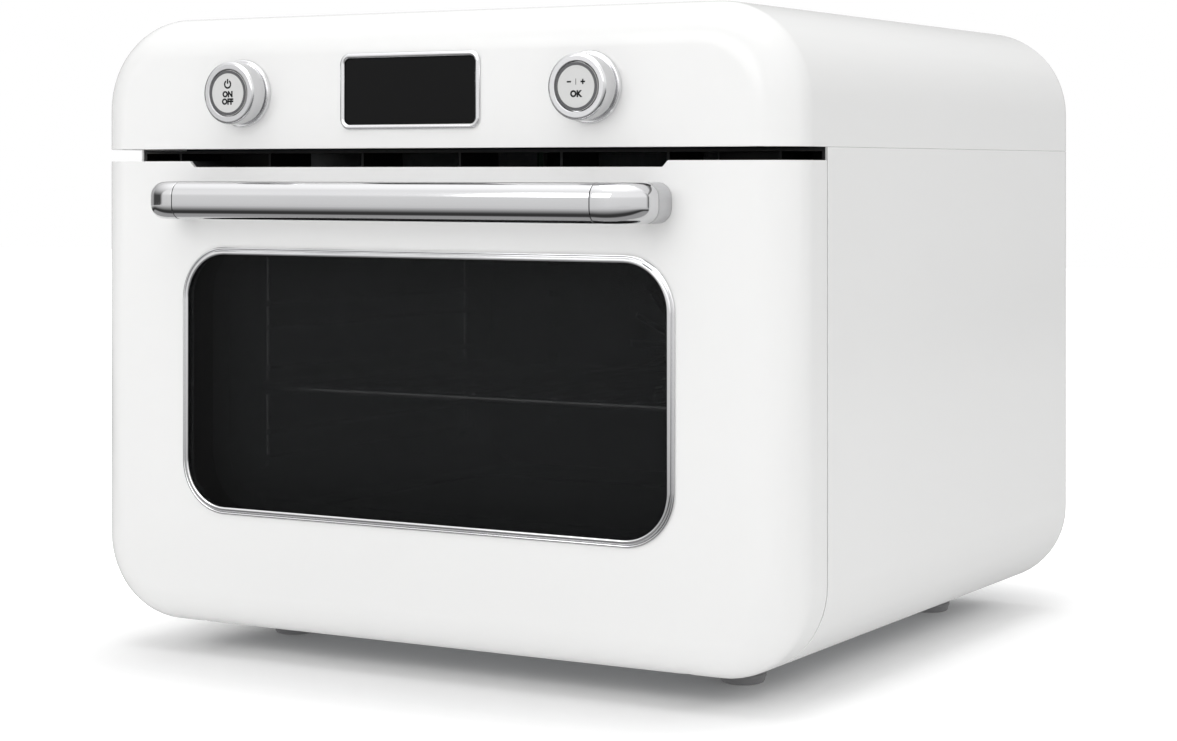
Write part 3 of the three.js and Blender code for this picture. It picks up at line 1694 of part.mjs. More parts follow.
function powerBoard() {
  const right = blowerPlace()[0] - rotor_radius - scroll_growth - foot_inset / 2;
  const left = right - power_board_width;
  const rear = body_depth - foot_inset;
  const front = rear - power_board_depth;
  const low = deck_rise + deck_thickness + clearance;
  const top = low + standoff + board_thickness;
  const board = block([left, front, low + standoff], [right, rear, top]);
  const legs = [[left, front], [right, front], [left, rear], [right, rear]].map(([x, y]) => {
    const middle_x = x + Math.sign((left + right) / 2 - x) * standoff;
    const middle_y = y + Math.sign((front + rear) / 2 - y) * standoff;
    return barZ(standoff / 2, low, top, middle_x, middle_y, tube_sides);
  });
  const seat = top - board_thickness / 2;
  const relays = Array.from({ length: relay_count }, (_, i) => {
    const x = left + standoff + i * relay_pitch;
    const y = front + 2 * standoff;
    return block([x, y, seat], [x + relay_size, y + relay_size, seat + relay_size]);
  });
  const core_x = left + standoff;
  const core_y = rear - relay_size - transformer_width;
  const transformer = block([core_x, core_y, seat],
    [core_x + transformer_width, core_y + transformer_width, seat + transformer_height]);
  const can_x = right - transformer_width;
  const can_y = rear - transformer_width;
  const capacitor = barZ(capacitor_radius, seat, seat + capacitor_height, can_x, can_y, pin_sides);
  const base_x = right - standoff - sink_fins * fin_pitch;
  const middle = (front + rear) / 2;
  const sink = block([base_x, middle - relay_size, seat], [right - standoff, middle, seat + sink_base]);
  const fins = Array.from({ length: sink_fins }, (_, i) => {
    const x = base_x + i * fin_pitch;
    return block([x, middle - relay_size, seat], [x + board_thickness, middle, seat + fin_height]);
  });
  return joined([board, ...legs, ...relays, transformer, capacitor, sink, ...fins]);
}

// Finishes

function finish(color, roughness, metalness) {
  return new THREE.MeshStandardMaterial({ color, roughness, metalness });
}

const finishes = {
  enamel: finish(0xf0f0ef, 0.12, 0),
  black_steel: finish(0x1b1b1c, 0.45, 0.2),
  black_plastic: finish(0x161616, 0.55, 0),
  chrome: finish(0xd9dadb, 0.12, 1),
  satin_metal: finish(0xb9babc, 0.35, 1),
  dark_glass: finish(0x0c0c0d, 0.05, 0),
  clear_glass: finish(0x9aa4a6, 0.05, 0),
  galvanised: finish(0x9da0a2, 0.5, 0.9),
  cavity_steel: finish(0x6f7173, 0.35, 0.9),
  wire_chrome: finish(0xc4c6c8, 0.22, 1),
  element: finish(0x4d4a48, 0.5, 0.8),
  wool: finish(0xd8cfae, 0.95, 0),
  rubber: finish(0x26282a, 0.8, 0),
  silicone: finish(0xa9adb0, 0.6, 0),
  clear_plastic: finish(0xb9c6cc, 0.2, 0),
  circuit: finish(0x2c5a3b, 0.6, 0),
  white_plastic: finish(0xe3e3e1, 0.4, 0),
};

const oven = new THREE.Group();

function addPiece(name, finish_name, solid) {
  const mesh = new THREE.Mesh(geometryOf(solid), finishes[finish_name]);
  mesh.name = name;
  oven.add(mesh);
}

const sides = [["left", -1], ["right", 1]];

// Case
addPiece("hood_cover", "enamel", hoodCover());
for (const [word, side] of sides) addPiece(word + "_side_panel", "enamel", sidePanel(side));
addPiece("base_plate", "galvanised", basePlate());
addPiece("rear_panel", "galvanised", rearPanel());
addPiece("front_frame", "black_steel", frontFrame());
addPiece("vent_grille", "black_plastic", ventGrille());
addPiece("deck_plate", "galvanised", deckPlate());
addPiece("cable_gland", "black_plastic", cableGland());
footPlaces().forEach((place, i) => {
  const names = ["front_left_foot", "front_right_foot", "rear_left_foot", "rear_right_foot"];
  addPiece(names[i], "rubber", foot(place));
});

// Cavity
addPiece("cavity_liner", "cavity_steel", cavityLiner());
addPiece("insulation", "wool", insulation());
addPiece("door_seal", "rubber", doorSeal());
addPiece("fan_cover", "cavity_steel", fanCover());
addPiece("convection_fan", "satin_metal", convectionFan());
addPiece("fan_motor", "galvanised", fanMotor());
addPiece("ring_element", "element", ringElement());
addPiece("grill_element", "element", grillElement());
addPiece("lower_element", "element", lowerElement());
for (const [word, side] of sides) addPiece(word + "_rack_support", "wire_chrome", rackSupport(side));
addPiece("wire_rack", "wire_chrome", wireRack());
addPiece("lamp_lens", "clear_glass", lampLens());
addPiece("lamp_housing", "galvanised", lampHousing());

// Water, steam, air and electrics
addPiece("water_tank", "clear_plastic", waterTank());
addPiece("tank_lid", "black_plastic", tankLid());
addPiece("water_pump", "white_plastic", waterPump());
addPiece("water_hose", "silicone", waterHose());
addPiece("steam_boiler", "satin_metal", steamBoiler());
addPiece("steam_pipe", "silicone", steamPipe());
addPiece("blower_housing", "galvanised", blowerHousing());
addPiece("blower_rotor", "black_plastic", blowerRotor());
addPiece("air_duct", "galvanised", airDuct());
addPiece("power_board", "circuit", powerBoard());

// Controls
addPiece("display_bezel", "chrome", displayBezel());
addPiece("display_glass", "dark_glass", displayGlass());
addPiece("display_board", "circuit", displayBoard());
for (const [word, side] of sides) {
  addPiece(word + "_knob_flange", "chrome", knobFlange(side));
  addPiece(word + "_knob_ring", "chrome", knobRing(side));
  addPiece(word + "_knob_button", "white_plastic", knobButton(side));
  addPiece(word + "_encoder", "black_plastic", encoder(side));
}

// Door
addPiece("door_skin", "enamel", doorSkin());
addPiece("door_liner", "black_steel", doorLiner());
addPiece("window_trim", "chrome", windowTrim());
addPiece("outer_glass", "dark_glass", outerGlass());
addPiece("inner_glass", "clear_glass", innerGlass());
addPiece("handle_bar", "chrome", handleBar());
for (const [word, side] of sides) {
  addPiece(word + "_handle_end", "satin_metal", handleEnd(side));
  addPiece(word + "_hinge_arm", "galvanised", hingeArm(side));
  addPiece(word + "_hinge_pin", "galvanised", hingePin(side));
}

// The origin lies under the middle of the oven's whole depth, from the handle to the gland
const rear_reach = body_depth + gland_projection;
oven.position.set(0, (handle_reach - rear_reach) / 2, foot_height);
oven.name = "countertop_steam_oven";

const placed = new THREE.Group();
placed.add(oven);

export default placed;
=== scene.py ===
# %% [markdown]
# # A countertop steam oven
#
# The oven is a white enamelled box with a door that drops down at the front. The CAD model already fixes
# every size, and where each part turns. This lesson dresses that model: fine shells over the coarse ones,
# bright metal, tinted glass, printed marks, and a plain studio round it.

# %% Load the fixed frame
import json
import math

import bmesh
import bpy
from bmesh.types import BMEdge, BMVert
from mathutils import Matrix, Vector


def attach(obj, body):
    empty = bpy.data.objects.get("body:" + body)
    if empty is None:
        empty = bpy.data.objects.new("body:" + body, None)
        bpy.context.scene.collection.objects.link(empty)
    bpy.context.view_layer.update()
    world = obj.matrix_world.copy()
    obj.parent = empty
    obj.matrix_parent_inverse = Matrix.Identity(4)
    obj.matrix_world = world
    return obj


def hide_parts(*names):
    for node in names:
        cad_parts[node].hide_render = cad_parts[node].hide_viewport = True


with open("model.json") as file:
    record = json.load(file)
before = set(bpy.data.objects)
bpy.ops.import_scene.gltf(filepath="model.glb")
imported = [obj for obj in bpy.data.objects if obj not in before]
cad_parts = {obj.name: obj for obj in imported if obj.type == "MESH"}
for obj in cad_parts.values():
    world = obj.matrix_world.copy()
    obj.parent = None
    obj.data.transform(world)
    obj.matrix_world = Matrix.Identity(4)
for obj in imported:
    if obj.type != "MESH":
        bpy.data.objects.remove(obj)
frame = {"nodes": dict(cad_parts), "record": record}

show = bpy.context.scene.collection.objects.link


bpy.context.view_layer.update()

# %% [markdown]
# The photograph was taken from the right, a little above the middle of the oven, with the camera held level.
# The camera comes first, so that each piece can be judged through it as soon as it is made.

# %% The photograph's camera
photo_width, photo_height = 1177, 741
focal_pixels = 2561.4
centre_row = 170.57
camera_place = Vector((0.8248, -1.4281, 0.29565))
camera_turn = math.radians(30.04)
sensor = 36.0

camera_data = bpy.data.cameras.new("photo_camera")
camera_data.sensor_width = sensor
camera_data.lens = focal_pixels * sensor / photo_width
camera_data.shift_y = -(photo_height / 2 - centre_row) / photo_width
camera = bpy.data.objects.new("photo_camera", camera_data)
camera.location = camera_place
camera.rotation_euler = (math.pi / 2, 0, camera_turn)
show(camera)
bpy.context.scene.camera = camera
bpy.context.scene.view_settings.view_transform = "Standard"
print("lens", round(camera_data.lens, 2), "mm")

# %% [markdown]
# The drawing measures from the front face and the underside of the case, in millimetres. The frame measures in
# metres from the middle of the footprint. One function goes from one to the other.

# %% Places on the drawing
MM = 0.001
middle_depth = 201
foot_height = 18
weld = 1e-6
full_turn = 2 * math.pi
sides = (("left", -1), ("right", 1))


def at(x, y, z):
    """A point of the drawing, in metres of the frame."""
    return Vector((x, y - middle_depth, z + foot_height)) * MM


print("hinge pin at", [round(value, 4) for value in at(0, 14, 13)])

# %% [markdown]
# A finish is a small network of shader nodes. Written as sockets and links it is hard to read, so one class
# wraps a socket and lets Python's own signs make the Math nodes: `0.2 + 0.1 * grain` is then two nodes.

# %% Shader sums
class Shade:
    """A socket of one material's network that can be used in a sum."""

    def __init__(self, tree, socket):
        self.tree = tree
        self.socket = socket

    def maths(self, operation, first, second):
        node = self.tree.nodes.new("ShaderNodeMath")
        node.operation = operation
        plug(self.tree, node.inputs[0], first)
        plug(self.tree, node.inputs[1], second)
        return Shade(self.tree, node.outputs[0])

    def __add__(self, other):
        return self.maths("ADD", self, other)

    def __mul__(self, other):
        return self.maths("MULTIPLY", self, other)

    def at_least(self, other):
        return self.maths("MAXIMUM", self, other)

    __radd__ = __add__
    __rmul__ = __mul__


def plug(tree, socket, value):
    """Links a Shade to a socket, or writes a plain value on it."""
    if isinstance(value, Shade):
        tree.links.new(value.socket, socket)
    elif isinstance(value, (tuple, list)) and len(value) == 3 and socket.type == "RGBA":
        socket.default_value = (*value, 1)
    else:
        socket.default_value = value


class Finish:
    """One material: its network and its Principled shader."""

    def __init__(self, name, **sockets):
        self.material = bpy.data.materials.new(name)
        self.material.use_nodes = True
        self.tree = self.material.node_tree
        self.shader = self.tree.nodes["Principled BSDF"]
        self.set(**sockets)

    def set(self, **sockets):
        for name, value in sockets.items():
            plug(self.tree, self.shader.inputs[name.replace("_", " ")], value)

    def node(self, kind, settings=None, out=0, **sockets):
        made = self.tree.nodes.new("ShaderNode" + kind)
        for name, value in (settings or {}).items():
            setattr(made, name, value)
        for name, value in sockets.items():
            plug(self.tree, made.inputs[name.replace("_", " ")], value)
        return Shade(self.tree, made.outputs[out])

    def place(self, stretch=(1, 1, 1)):
        """The point on the object, stretched, in metres."""
        here = self.node("TexCoord", out="Object")
        return self.node("Mapping", Vector=here, Scale=stretch)

    def noise(self, scale, detail=2, stretch=(1, 1, 1)):
        """Soft random patches, from 0 to 1."""
        return self.node("TexNoise", Vector=self.place(stretch), Scale=scale, Detail=detail)

    def blend(self, share, low, high):
        """A colour between two, by a share."""
        mix = self.tree.nodes.new("ShaderNodeMix")
        mix.data_type = "RGBA"
        plug(self.tree, mix.inputs[0], share)
        plug(self.tree, mix.inputs[6], low)
        plug(self.tree, mix.inputs[7], high)
        return Shade(self.tree, mix.outputs[2])

    def bump(self, height, distance):
        """Raises the surface by up to a distance in metres where height is 1."""
        self.set(Normal=self.node("Bump", Height=height, Distance=distance))


def tinted(colour, factor):
    return tuple(min(1.0, value * factor) for value in colour)


finishes = {}


def surface(slot, colour, rough, metal=0.0, patch=9, spread=0.06, rough_spread=0.08, grain=900,
            relief=0.00001, stretch=(1, 1, 1), **more):
    """An everyday finish: slow patches of tone and polish, with a fine grain in relief."""
    made = Finish(slot, Metallic=metal, **more)
    patches = made.noise(patch)
    fine = made.noise(grain, stretch=stretch)
    made.set(Base_Color=made.blend(patches, tinted(colour, 1 - spread), tinted(colour, 1 + spread)))
    made.set(Roughness=rough - rough_spread / 2 + rough_spread * fine)
    made.bump(fine, relief)
    finishes[slot] = made.material


print("shader helpers ready")

# %% [markdown]
# The case is steel sheet under white stove enamel, which is glass melted on to the steel. A clear coat over a
# duller base gives its deep gloss, where one glossy layer would look like plastic.

# %% White enamel
enamel = Finish("enamel", Coat_Weight=0.4, Coat_Roughness=0.18, Specular_IOR_Level=0.35)
drift = enamel.noise(4)
enamel.set(Base_Color=enamel.blend(drift, (0.865, 0.865, 0.86), (0.885, 0.885, 0.88)))
enamel.set(Roughness=0.24 + 0.05 * drift)
finishes["enamel"] = enamel.material

# %% [markdown]
# The metals differ mostly in how rough they are. Chrome plating is almost a mirror, the handle's posts are satin,
# and zinc-coated sheet inside the case is dull with a crystal pattern.

# %% Metals
for slot, tone, rough in (("chrome", 0.66, 0.07), ("bright_trim", 0.78, 0.10)):
    surface(slot, (tone, tone, tone + 0.01), rough, metal=1.0, rough_spread=0.03, grain=300, relief=0.000001,
            spread=0.02)
surface("satin_metal", (0.60, 0.60, 0.61), 0.34, metal=1.0, grain=1500, relief=0.000003, spread=0.03)
surface("wire_chrome", (0.93, 0.93, 0.94), 0.26, metal=1.0, grain=700, relief=0.000004)
surface("element", (0.085, 0.078, 0.07), 0.5, metal=0.8, patch=60, spread=0.3, relief=0.00001)
surface("cavity_steel", (0.10, 0.10, 0.103), 0.33, metal=0.9, grain=1200, relief=0.000003, stretch=(1, 1, 14))

zinc = Finish("galvanised", Metallic=0.9)
crystals = zinc.node("TexVoronoi", out="Color", Vector=zinc.place(), Scale=130)
flake = zinc.node("RGBToBW", Color=crystals)
zinc.set(Base_Color=zinc.blend(flake, (0.33, 0.34, 0.35), (0.45, 0.46, 0.47)))
zinc.set(Roughness=0.36 + 0.18 * flake)
zinc.bump(zinc.noise(500), 0.000006)
finishes["galvanised"] = zinc.material

# %% [markdown]
# The rest are paints, plastics, rubber, glass and wool. Each gets its own scale of patch and grain.

# %% Paint, plastic, rubber and wool
surface("black_steel", (0.030, 0.030, 0.032), 0.36, grain=700, relief=0.000008)
surface("black_plastic", (0.020, 0.020, 0.021), 0.52, grain=1600, relief=0.00002)
surface("rubber", (0.026, 0.027, 0.029), 0.72, grain=1100, relief=0.00003)
surface("foot_rubber", (0.24, 0.24, 0.245), 0.72, grain=1100, relief=0.00003)
surface("silicone", (0.42, 0.44, 0.46), 0.38, grain=500, relief=0.00001, Subsurface_Weight=0.2)
surface("clear_plastic", (0.50, 0.58, 0.62), 0.12, grain=300, relief=0.000004, Alpha=0.5)
surface("white_plastic", (0.66, 0.66, 0.655), 0.40, grain=1500, relief=0.000006)
surface("wool", (0.66, 0.58, 0.36), 0.95, patch=40, spread=0.25, grain=420, relief=0.0008, stretch=(1, 1, 5))
surface("satin_white", (0.64, 0.64, 0.635), 0.36, grain=1500, relief=0.000004)
surface("mark_ink", (0.008, 0.008, 0.009), 0.6, Specular_IOR_Level=0.2)
surface("satin_ring", (0.62, 0.62, 0.63), 0.36, metal=1.0, grain=1500, relief=0.000002, spread=0.03)
surface("ring_grey", (0.09, 0.09, 0.095), 0.42)
surface("clear_glass", (0.55, 0.60, 0.62), 0.03, rough_spread=0.01, grain=30, relief=0.000001, Alpha=0.16)
surface("dark_glass", (0.006, 0.006, 0.0062), 0.03, rough_spread=0.01, grain=30, relief=0.000001, Alpha=0.52,
        Specular_IOR_Level=0.08)
surface("display_dark", (0.0055, 0.0055, 0.0058), 0.06, rough_spread=0.02, grain=40, relief=0.000001,
        Specular_IOR_Level=0.10)

board = Finish("circuit", Metallic=0.0)
tracks = board.node("TexBrick", out="Fac", Vector=board.place(), Scale=90, Mortar_Size=0.03)
board.set(Base_Color=board.blend(tracks, (0.015, 0.085, 0.035), (0.05, 0.20, 0.09)))
board.set(Roughness=0.35 + 0.2 * board.noise(200))
board.bump(tracks, 0.00003)
finishes["circuit"] = board.material
print(len(finishes), "finishes")

# %% [markdown]
# Every solid of the frame takes the finish of its slot in the record, even where the case hides it. The finer
# pieces below then take over from the solids that the eye meets first.

# %% Dress the frame's own solids
node_slots = {row["node"]: row["material_slot"] for row in frame["record"]["subparts"]}
for node_name, node_object in frame["nodes"].items():
    finish_name = node_slots[node_name]
    if node_name == "display_glass":
        finish_name = "display_dark"
    node_object.data.materials.clear()
    node_object.data.materials.append(finishes[finish_name])
print(len(frame["nodes"]), "solids dressed")

# %% [markdown]
# Every piece below ends in the same way. Its doubled points are merged, its walls get their thickness, its
# edges are eased, and it is given its body and its finish, and the solids that it stands for are hidden. The
# modifiers are worked out into plain faces here.

# %% Finish a piece
edge_angle = math.radians(38)
crease_limit = math.cos(math.radians(50))


def object_of(name, bm):
    """Makes a shown object of a bmesh, which is used up."""
    mesh = bpy.data.meshes.new(name)
    bm.to_mesh(mesh)
    bm.free()
    obj = bpy.data.objects.new(name, mesh)
    show(obj)
    return obj


def worked_out(obj):
    """The shape of an object with its modifiers or its curve worked out, as a mesh."""
    view = bpy.context.evaluated_depsgraph_get()
    return bpy.data.meshes.new_from_object(obj.evaluated_get(view), depsgraph=view)


def mesh_of(name, curve):
    """The shape of a curve or a text, as a mesh."""
    source = bpy.data.objects.new(name, curve)
    show(source)
    mesh = worked_out(source)
    bpy.data.objects.remove(source)
    bpy.data.curves.remove(curve)
    return mesh


def piece(name, bm, body, slot, nodes=(), wall=0, edge=0, turn_out=False, finish=None):
    """Makes a finished object of a bmesh."""
    bmesh.ops.remove_doubles(bm, verts=bm.verts, dist=weld)
    if turn_out:
        bmesh.ops.recalc_face_normals(bm, faces=bm.faces)
    obj = object_of(name, bm)
    if wall:
        solid = obj.modifiers.new("wall", "SOLIDIFY")
        solid.thickness = wall * MM
        solid.offset = -1
        solid.use_even_offset = True
    if edge:
        ease = obj.modifiers.new("edge", "BEVEL")
        ease.width = edge * MM
        ease.segments = 2
        ease.limit_method = "ANGLE"
        ease.angle_limit = edge_angle
        ease.loop_slide = False
    if wall or edge:
        rough = obj.data
        shaped = worked_out(obj)
        obj.modifiers.clear()
        obj.data = shaped
        bpy.data.meshes.remove(rough)
    dress(obj, body, slot, nodes, finish)


def dress(obj, body, slot, nodes, finish=None):
    """Gives an object its shading, finish and body."""
    obj.data.materials.clear()
    obj.data.materials.append(finishes[finish or slot])
    even_shading(obj.data)
    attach(obj, body)
    if nodes:
        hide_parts(*nodes)


# %% [markdown]
# A flat panel must look flat right up to its rounded edge. Each corner of a face is therefore shaded by the flats
# that meet there, weighed by the whole area that lies in the same plane. Faces that meet at more than the crease
# angle don't blend, so true edges stay crisp.

# %% Even shading
def plane_of(face):
    return (*(round(value, 3) for value in face.normal), round(face.normal.dot(face.center), 5))


def even_shading(mesh):
    faces = mesh.polygons
    faces.foreach_set("use_smooth", [True] * len(faces))
    planes = [plane_of(face) for face in faces]
    areas = {}
    for face, plane in zip(faces, planes):
        areas[plane] = areas.get(plane, 0) + face.area
    pulls = [face.normal * areas[plane] for face, plane in zip(faces, planes)]
    around = [[] for _ in mesh.vertices]
    for face in faces:
        for vert in face.vertices:
            around[vert].append(face.index)
    normals = []
    for face in faces:
        for vert in face.vertices:
            near = [pulls[other] for other in around[vert] if faces[other].normal.dot(face.normal) > crease_limit]
            normals.append(sum(near, Vector()).normalized())
    mesh.normals_split_custom_set(normals)


# %% [markdown]
# The case, hood and door are pressed so that their outsides form one rounded body. It is made once as a block: a
# cube, its four long edges rolled, then its front and rear rims. Cutting planes then take each part out of it,
# and the seams between them are exactly even.

# %% The whole rounded body
body_width, body_height, body_depth = 480, 371, 436
top_radius, bottom_radius = 56, 52
front_rim, rear_rim = 25, 12
sheet = 2


def roll(bm, geom, radius, segments, affect="EDGES"):
    """Rounds some edges, or some corners."""
    return bmesh.ops.bevel(bm, geom=geom, offset=radius, offset_type="OFFSET", segments=segments, profile=0.5,
                           affect=affect, material=-1)


def lies_at(item, axis, value):
    """Whether an edge or a face lies wholly at a place along an axis."""
    return all(abs(vert.co[axis] - value) < weld for vert in item.verts)


def level_with(bm, axis, value):
    return [edge for edge in bm.edges if lies_at(edge, axis, value)]


def rounded_body():
    bm = bmesh.new()
    bmesh.ops.create_cube(bm, size=1)
    bmesh.ops.scale(bm, vec=Vector((body_width, body_depth, body_height)) * MM, verts=bm.verts)
    bmesh.ops.translate(bm, vec=at(0, body_depth / 2, body_height / 2), verts=bm.verts)
    for height, radius in ((body_height, top_radius), (0, bottom_radius)):
        level = at(0, 0, height).z
        long_edges = [edge for edge in level_with(bm, 2, level)
                      if abs(edge.verts[0].co.y - edge.verts[1].co.y) > weld]
        roll(bm, long_edges, radius * MM, 14)
    roll(bm, level_with(bm, 1, at(0, 0, 0).y), front_rim * MM, 10)
    roll(bm, level_with(bm, 1, at(0, body_depth, 0).y), rear_rim * MM, 5)
    return bm


def cut_off(bm, place, way, clear=True):
    """Cuts the mesh at a plane, and clears away what lies on the way's side."""
    everything = bm.verts[:] + bm.edges[:] + bm.faces[:]
    bmesh.ops.bisect_plane(bm, geom=everything, dist=weld, plane_co=place, plane_no=way, clear_outer=clear)


def cut_faces(bm, faces, place, way):
    """Draws the line where a plane cuts some of the faces."""
    geom = list({vert for face in faces for vert in face.verts})
    geom += list({edge for face in faces for edge in face.edges}) + faces
    bmesh.ops.bisect_plane(bm, geom=geom, dist=weld, plane_co=place, plane_no=way)


def flat_face(bm, axis, value):
    """The largest face that lies at a place along an axis."""
    return max((face for face in bm.faces if lies_at(face, axis, value)), key=lambda face: face.calc_area())


def open_rear(bm):
    bmesh.ops.delete(bm, geom=[flat_face(bm, 1, at(0, body_depth, 0).y)], context="FACES")


print("body", body_width, "by", body_depth, "by", body_height, "mm")

# %% [markdown]
# Openings are cut by filling: the flat front face is taken away, the outlines of its holes are drawn inside
# its border, and the space between is filled again.

# %% Outlines and openings
upright = Matrix.Rotation(math.pi / 2, 3, "X")


def turn(bm, verts, matrix):
    bmesh.ops.rotate(bm, cent=(0, 0, 0), matrix=matrix, verts=verts)


def rounded_outline(bm, width, height, radius, place, segments=8):
    """Draws a rounded rectangle facing front, and returns its edges."""
    made = bmesh.ops.create_circle(bm, cap_ends=True, segments=4, radius=math.sqrt(0.5))
    verts = made["verts"]
    turn(bm, verts, Matrix.Rotation(math.pi / 4, 3, "Z"))
    bmesh.ops.scale(bm, vec=(width * MM, height * MM, 1), verts=verts)
    turn(bm, verts, upright)
    bmesh.ops.translate(bm, vec=place, verts=verts)
    rolled = roll(bm, verts, radius * MM, segments, "VERTICES")
    face = next(face for vert in rolled["verts"] for face in vert.link_faces)
    edges = list(face.edges)
    bmesh.ops.delete(bm, geom=[face], context="FACES_ONLY")
    return edges


def round_outline(bm, radius, place, segments=48):
    made = bmesh.ops.create_circle(bm, cap_ends=False, segments=segments, radius=radius * MM)
    turn(bm, made["verts"], upright)
    bmesh.ops.translate(bm, vec=place, verts=made["verts"])
    return list({edge for vert in made["verts"] for edge in vert.link_edges})


def pierce(bm, draw_holes):
    """Opens holes in the flat front face."""
    front = flat_face(bm, 1, at(0, 0, 0).y)
    border = list(front.edges)
    bmesh.ops.delete(bm, geom=[front], context="FACES_ONLY")
    for outline in draw_holes(bm):
        border += outline
    bmesh.ops.triangle_fill(bm, use_beauty=True, use_dissolve=False, edges=border, normal=(0, -1, 0))


def pick(items, kind):
    """The points, or the edges, among what an operator made."""
    return [item for item in items if isinstance(item, kind)]


def push_back(bm, edges, depth):
    """Draws a wall straight back from some edges to a depth."""
    made = bmesh.ops.extrude_edge_only(bm, edges=edges)["geom"]
    for vert in pick(made, BMVert):
        vert.co.y = at(0, depth, 0).y


# %% [markdown]
# The hood is the upper band with the controls. Its front has two round holes for the knobs and one for the
# display, and a narrow lip turns in under it above the slot where warm air leaves.

# %% Hood
hood_bottom = 290.6
control_height = 323.8
knob_offset = 120
front_shift = -4
knob_hole = 10.5
display_width, display_height, display_corner, display_margin = 90, 38, 3, 1.5
lip_depth = 9


def hood():
    bm = rounded_body()
    open_rear(bm)
    cut_off(bm, at(0, 0, hood_bottom), (0, 0, -1))

    def holes(mesh):
        for _, side in sides:
            yield round_outline(mesh, knob_hole, at(front_shift + side * knob_offset, 0, control_height))
        yield rounded_outline(mesh, display_width + 2 * display_margin, display_height + 2 * display_margin,
                              display_corner + display_margin, at(front_shift, 0, control_height))

    pierce(bm, holes)
    rim = [edge for edge in level_with(bm, 2, at(0, 0, hood_bottom).z) if lies_at(edge, 1, at(0, 0, 0).y)]
    push_back(bm, rim, lip_depth)
    piece("hood_shell", bm, "case", "enamel", ["hood_cover"], wall=sheet, edge=0.5)


hood()
print("hood made")

# %% [markdown]
# Each side of the case is one sheet that wraps from the hood down and under. Its front edge stands a seam
# behind the door.

# %% Case sides
case_front = 44.8
side_top = 290.56
side_edge = 188


def case_side(word, side):
    bm = rounded_body()
    open_rear(bm)
    cut_off(bm, at(0, 0, side_top), (0, 0, 1))
    cut_off(bm, at(0, case_front, 0), (0, -1, 0))
    cut_off(bm, at(side * side_edge, 0, 0), (-side, 0, 0))
    piece(word + "_case_side", bm, "case", "enamel", [word + "_side_panel"], wall=sheet, edge=0.4)


for word, side in sides:
    case_side(word, side)
print("sides made")

# %% [markdown]
# The door's outer skin is the front of the same rounded body. Its top is closed, with a shallow recess along
# the middle that gives fingers room over the handle, and the big window is open for the glass.

# %% Door skin
door_top = 283.3
door_back = 43.2
recess_half, recess_low, recess_slope = 165, 279.7, 3.4
window_width, window_height, window_corner = 330, 152, 27
window_middle = 151
window_steps = 14
handle_rise = 260
arm_offset, notch_half, notch_front, notch_top = 168, 2.8, 16.2, 21.8
ahead_of_notch, above_notch = 7, 6
skin_margin = 3.0
top_lip, strip_half = 2.4, 191


def door_skin():
    bm = rounded_body()
    cut_off(bm, at(0, door_back, 0), (0, 1, 0))
    cut_off(bm, at(0, 0, door_top), (0, 0, 1))

    def holes(mesh):
        yield rounded_outline(mesh, window_width + 2 * skin_margin, window_height + 2 * skin_margin,
                              window_corner + skin_margin, at(0, 0, window_middle), window_steps)

    strip = pierce_top(bm)
    pierce(bm, holes)
    notch(bm)
    piece("door_top_strip", strip, "door", "enamel", wall=sheet, finish="black_steel")
    piece("door_outer_skin", bm, "door", "enamel", ["door_skin"], wall=sheet, edge=0.5)


def pierce_top(bm):
    """Lowers the middle of the door's top edge, then closes the top with a wall."""
    run = recess_half - recess_slope
    fall = door_top - recess_low
    cut_off(bm, at(0, 0, recess_low), (0, 0, 1), clear=False)
    for _, side in sides:
        slope = Vector((side * fall, 0, -recess_slope)).normalized()
        cut_off(bm, at(side * run, 0, recess_low), slope, clear=False)
    low = at(0, 0, recess_low).z
    gone = []
    for face in bm.faces:
        middle = face.calc_center_median()
        reach = run * MM + recess_slope * (middle.z - low) / fall
        if middle.z > low + weld and abs(middle.x) < reach:
            gone.append(face)
    bmesh.ops.delete(bm, geom=gone, context="FACES")
    rear = at(0, door_back, 0).y
    edges = [edge for edge in bm.edges if edge.is_boundary and not lies_at(edge, 1, rear)
             and all(vert.co.z > low - weld for vert in edge.verts)
             and not all(abs(abs(vert.co.x) - body_width / 2 * MM) < weld for vert in edge.verts)]
    push_back(bm, edges, door_back)
    join_slices(bm)
    return top_strip(bm, low)


def top_strip(bm, low):
    """Takes the middle of the door's top wall out, into a mesh of its own."""
    bm.normal_update()

    def top():
        return [face for face in bm.faces if face.normal.z > 0.5 and face.calc_center_median().z > low - weld]

    lip = at(0, top_lip, 0)
    for place, way in ((lip, (0, 1, 0)), (at(-strip_half, 0, 0), (1, 0, 0)), (at(strip_half, 0, 0), (1, 0, 0))):
        cut_faces(bm, top(), place, way)
    bm.faces.index_update()
    return take_out(bm, {face.index for face in top() if face.calc_center_median().y > lip.y
                         and abs(face.calc_center_median().x) < strip_half * MM})


def take_out(bm, chosen):
    """Moves the faces with the chosen numbers into a mesh of their own."""
    bm.faces.ensure_lookup_table()
    apart = bm.copy()
    bmesh.ops.delete(bm, geom=[face for face in bm.faces if face.index in chosen], context="FACES")
    bmesh.ops.delete(apart, geom=[face for face in apart.faces if face.index not in chosen], context="FACES")
    return apart


def join_slices(bm):
    """Takes the cut lines out of the flat front again, so that it is one face."""
    front = at(0, 0, 0).y
    inner = [edge for edge in bm.edges if len(edge.link_faces) == 2
             and all(lies_at(face, 1, front) for face in edge.link_faces)]
    bmesh.ops.dissolve_edges(bm, edges=inner, use_verts=False)


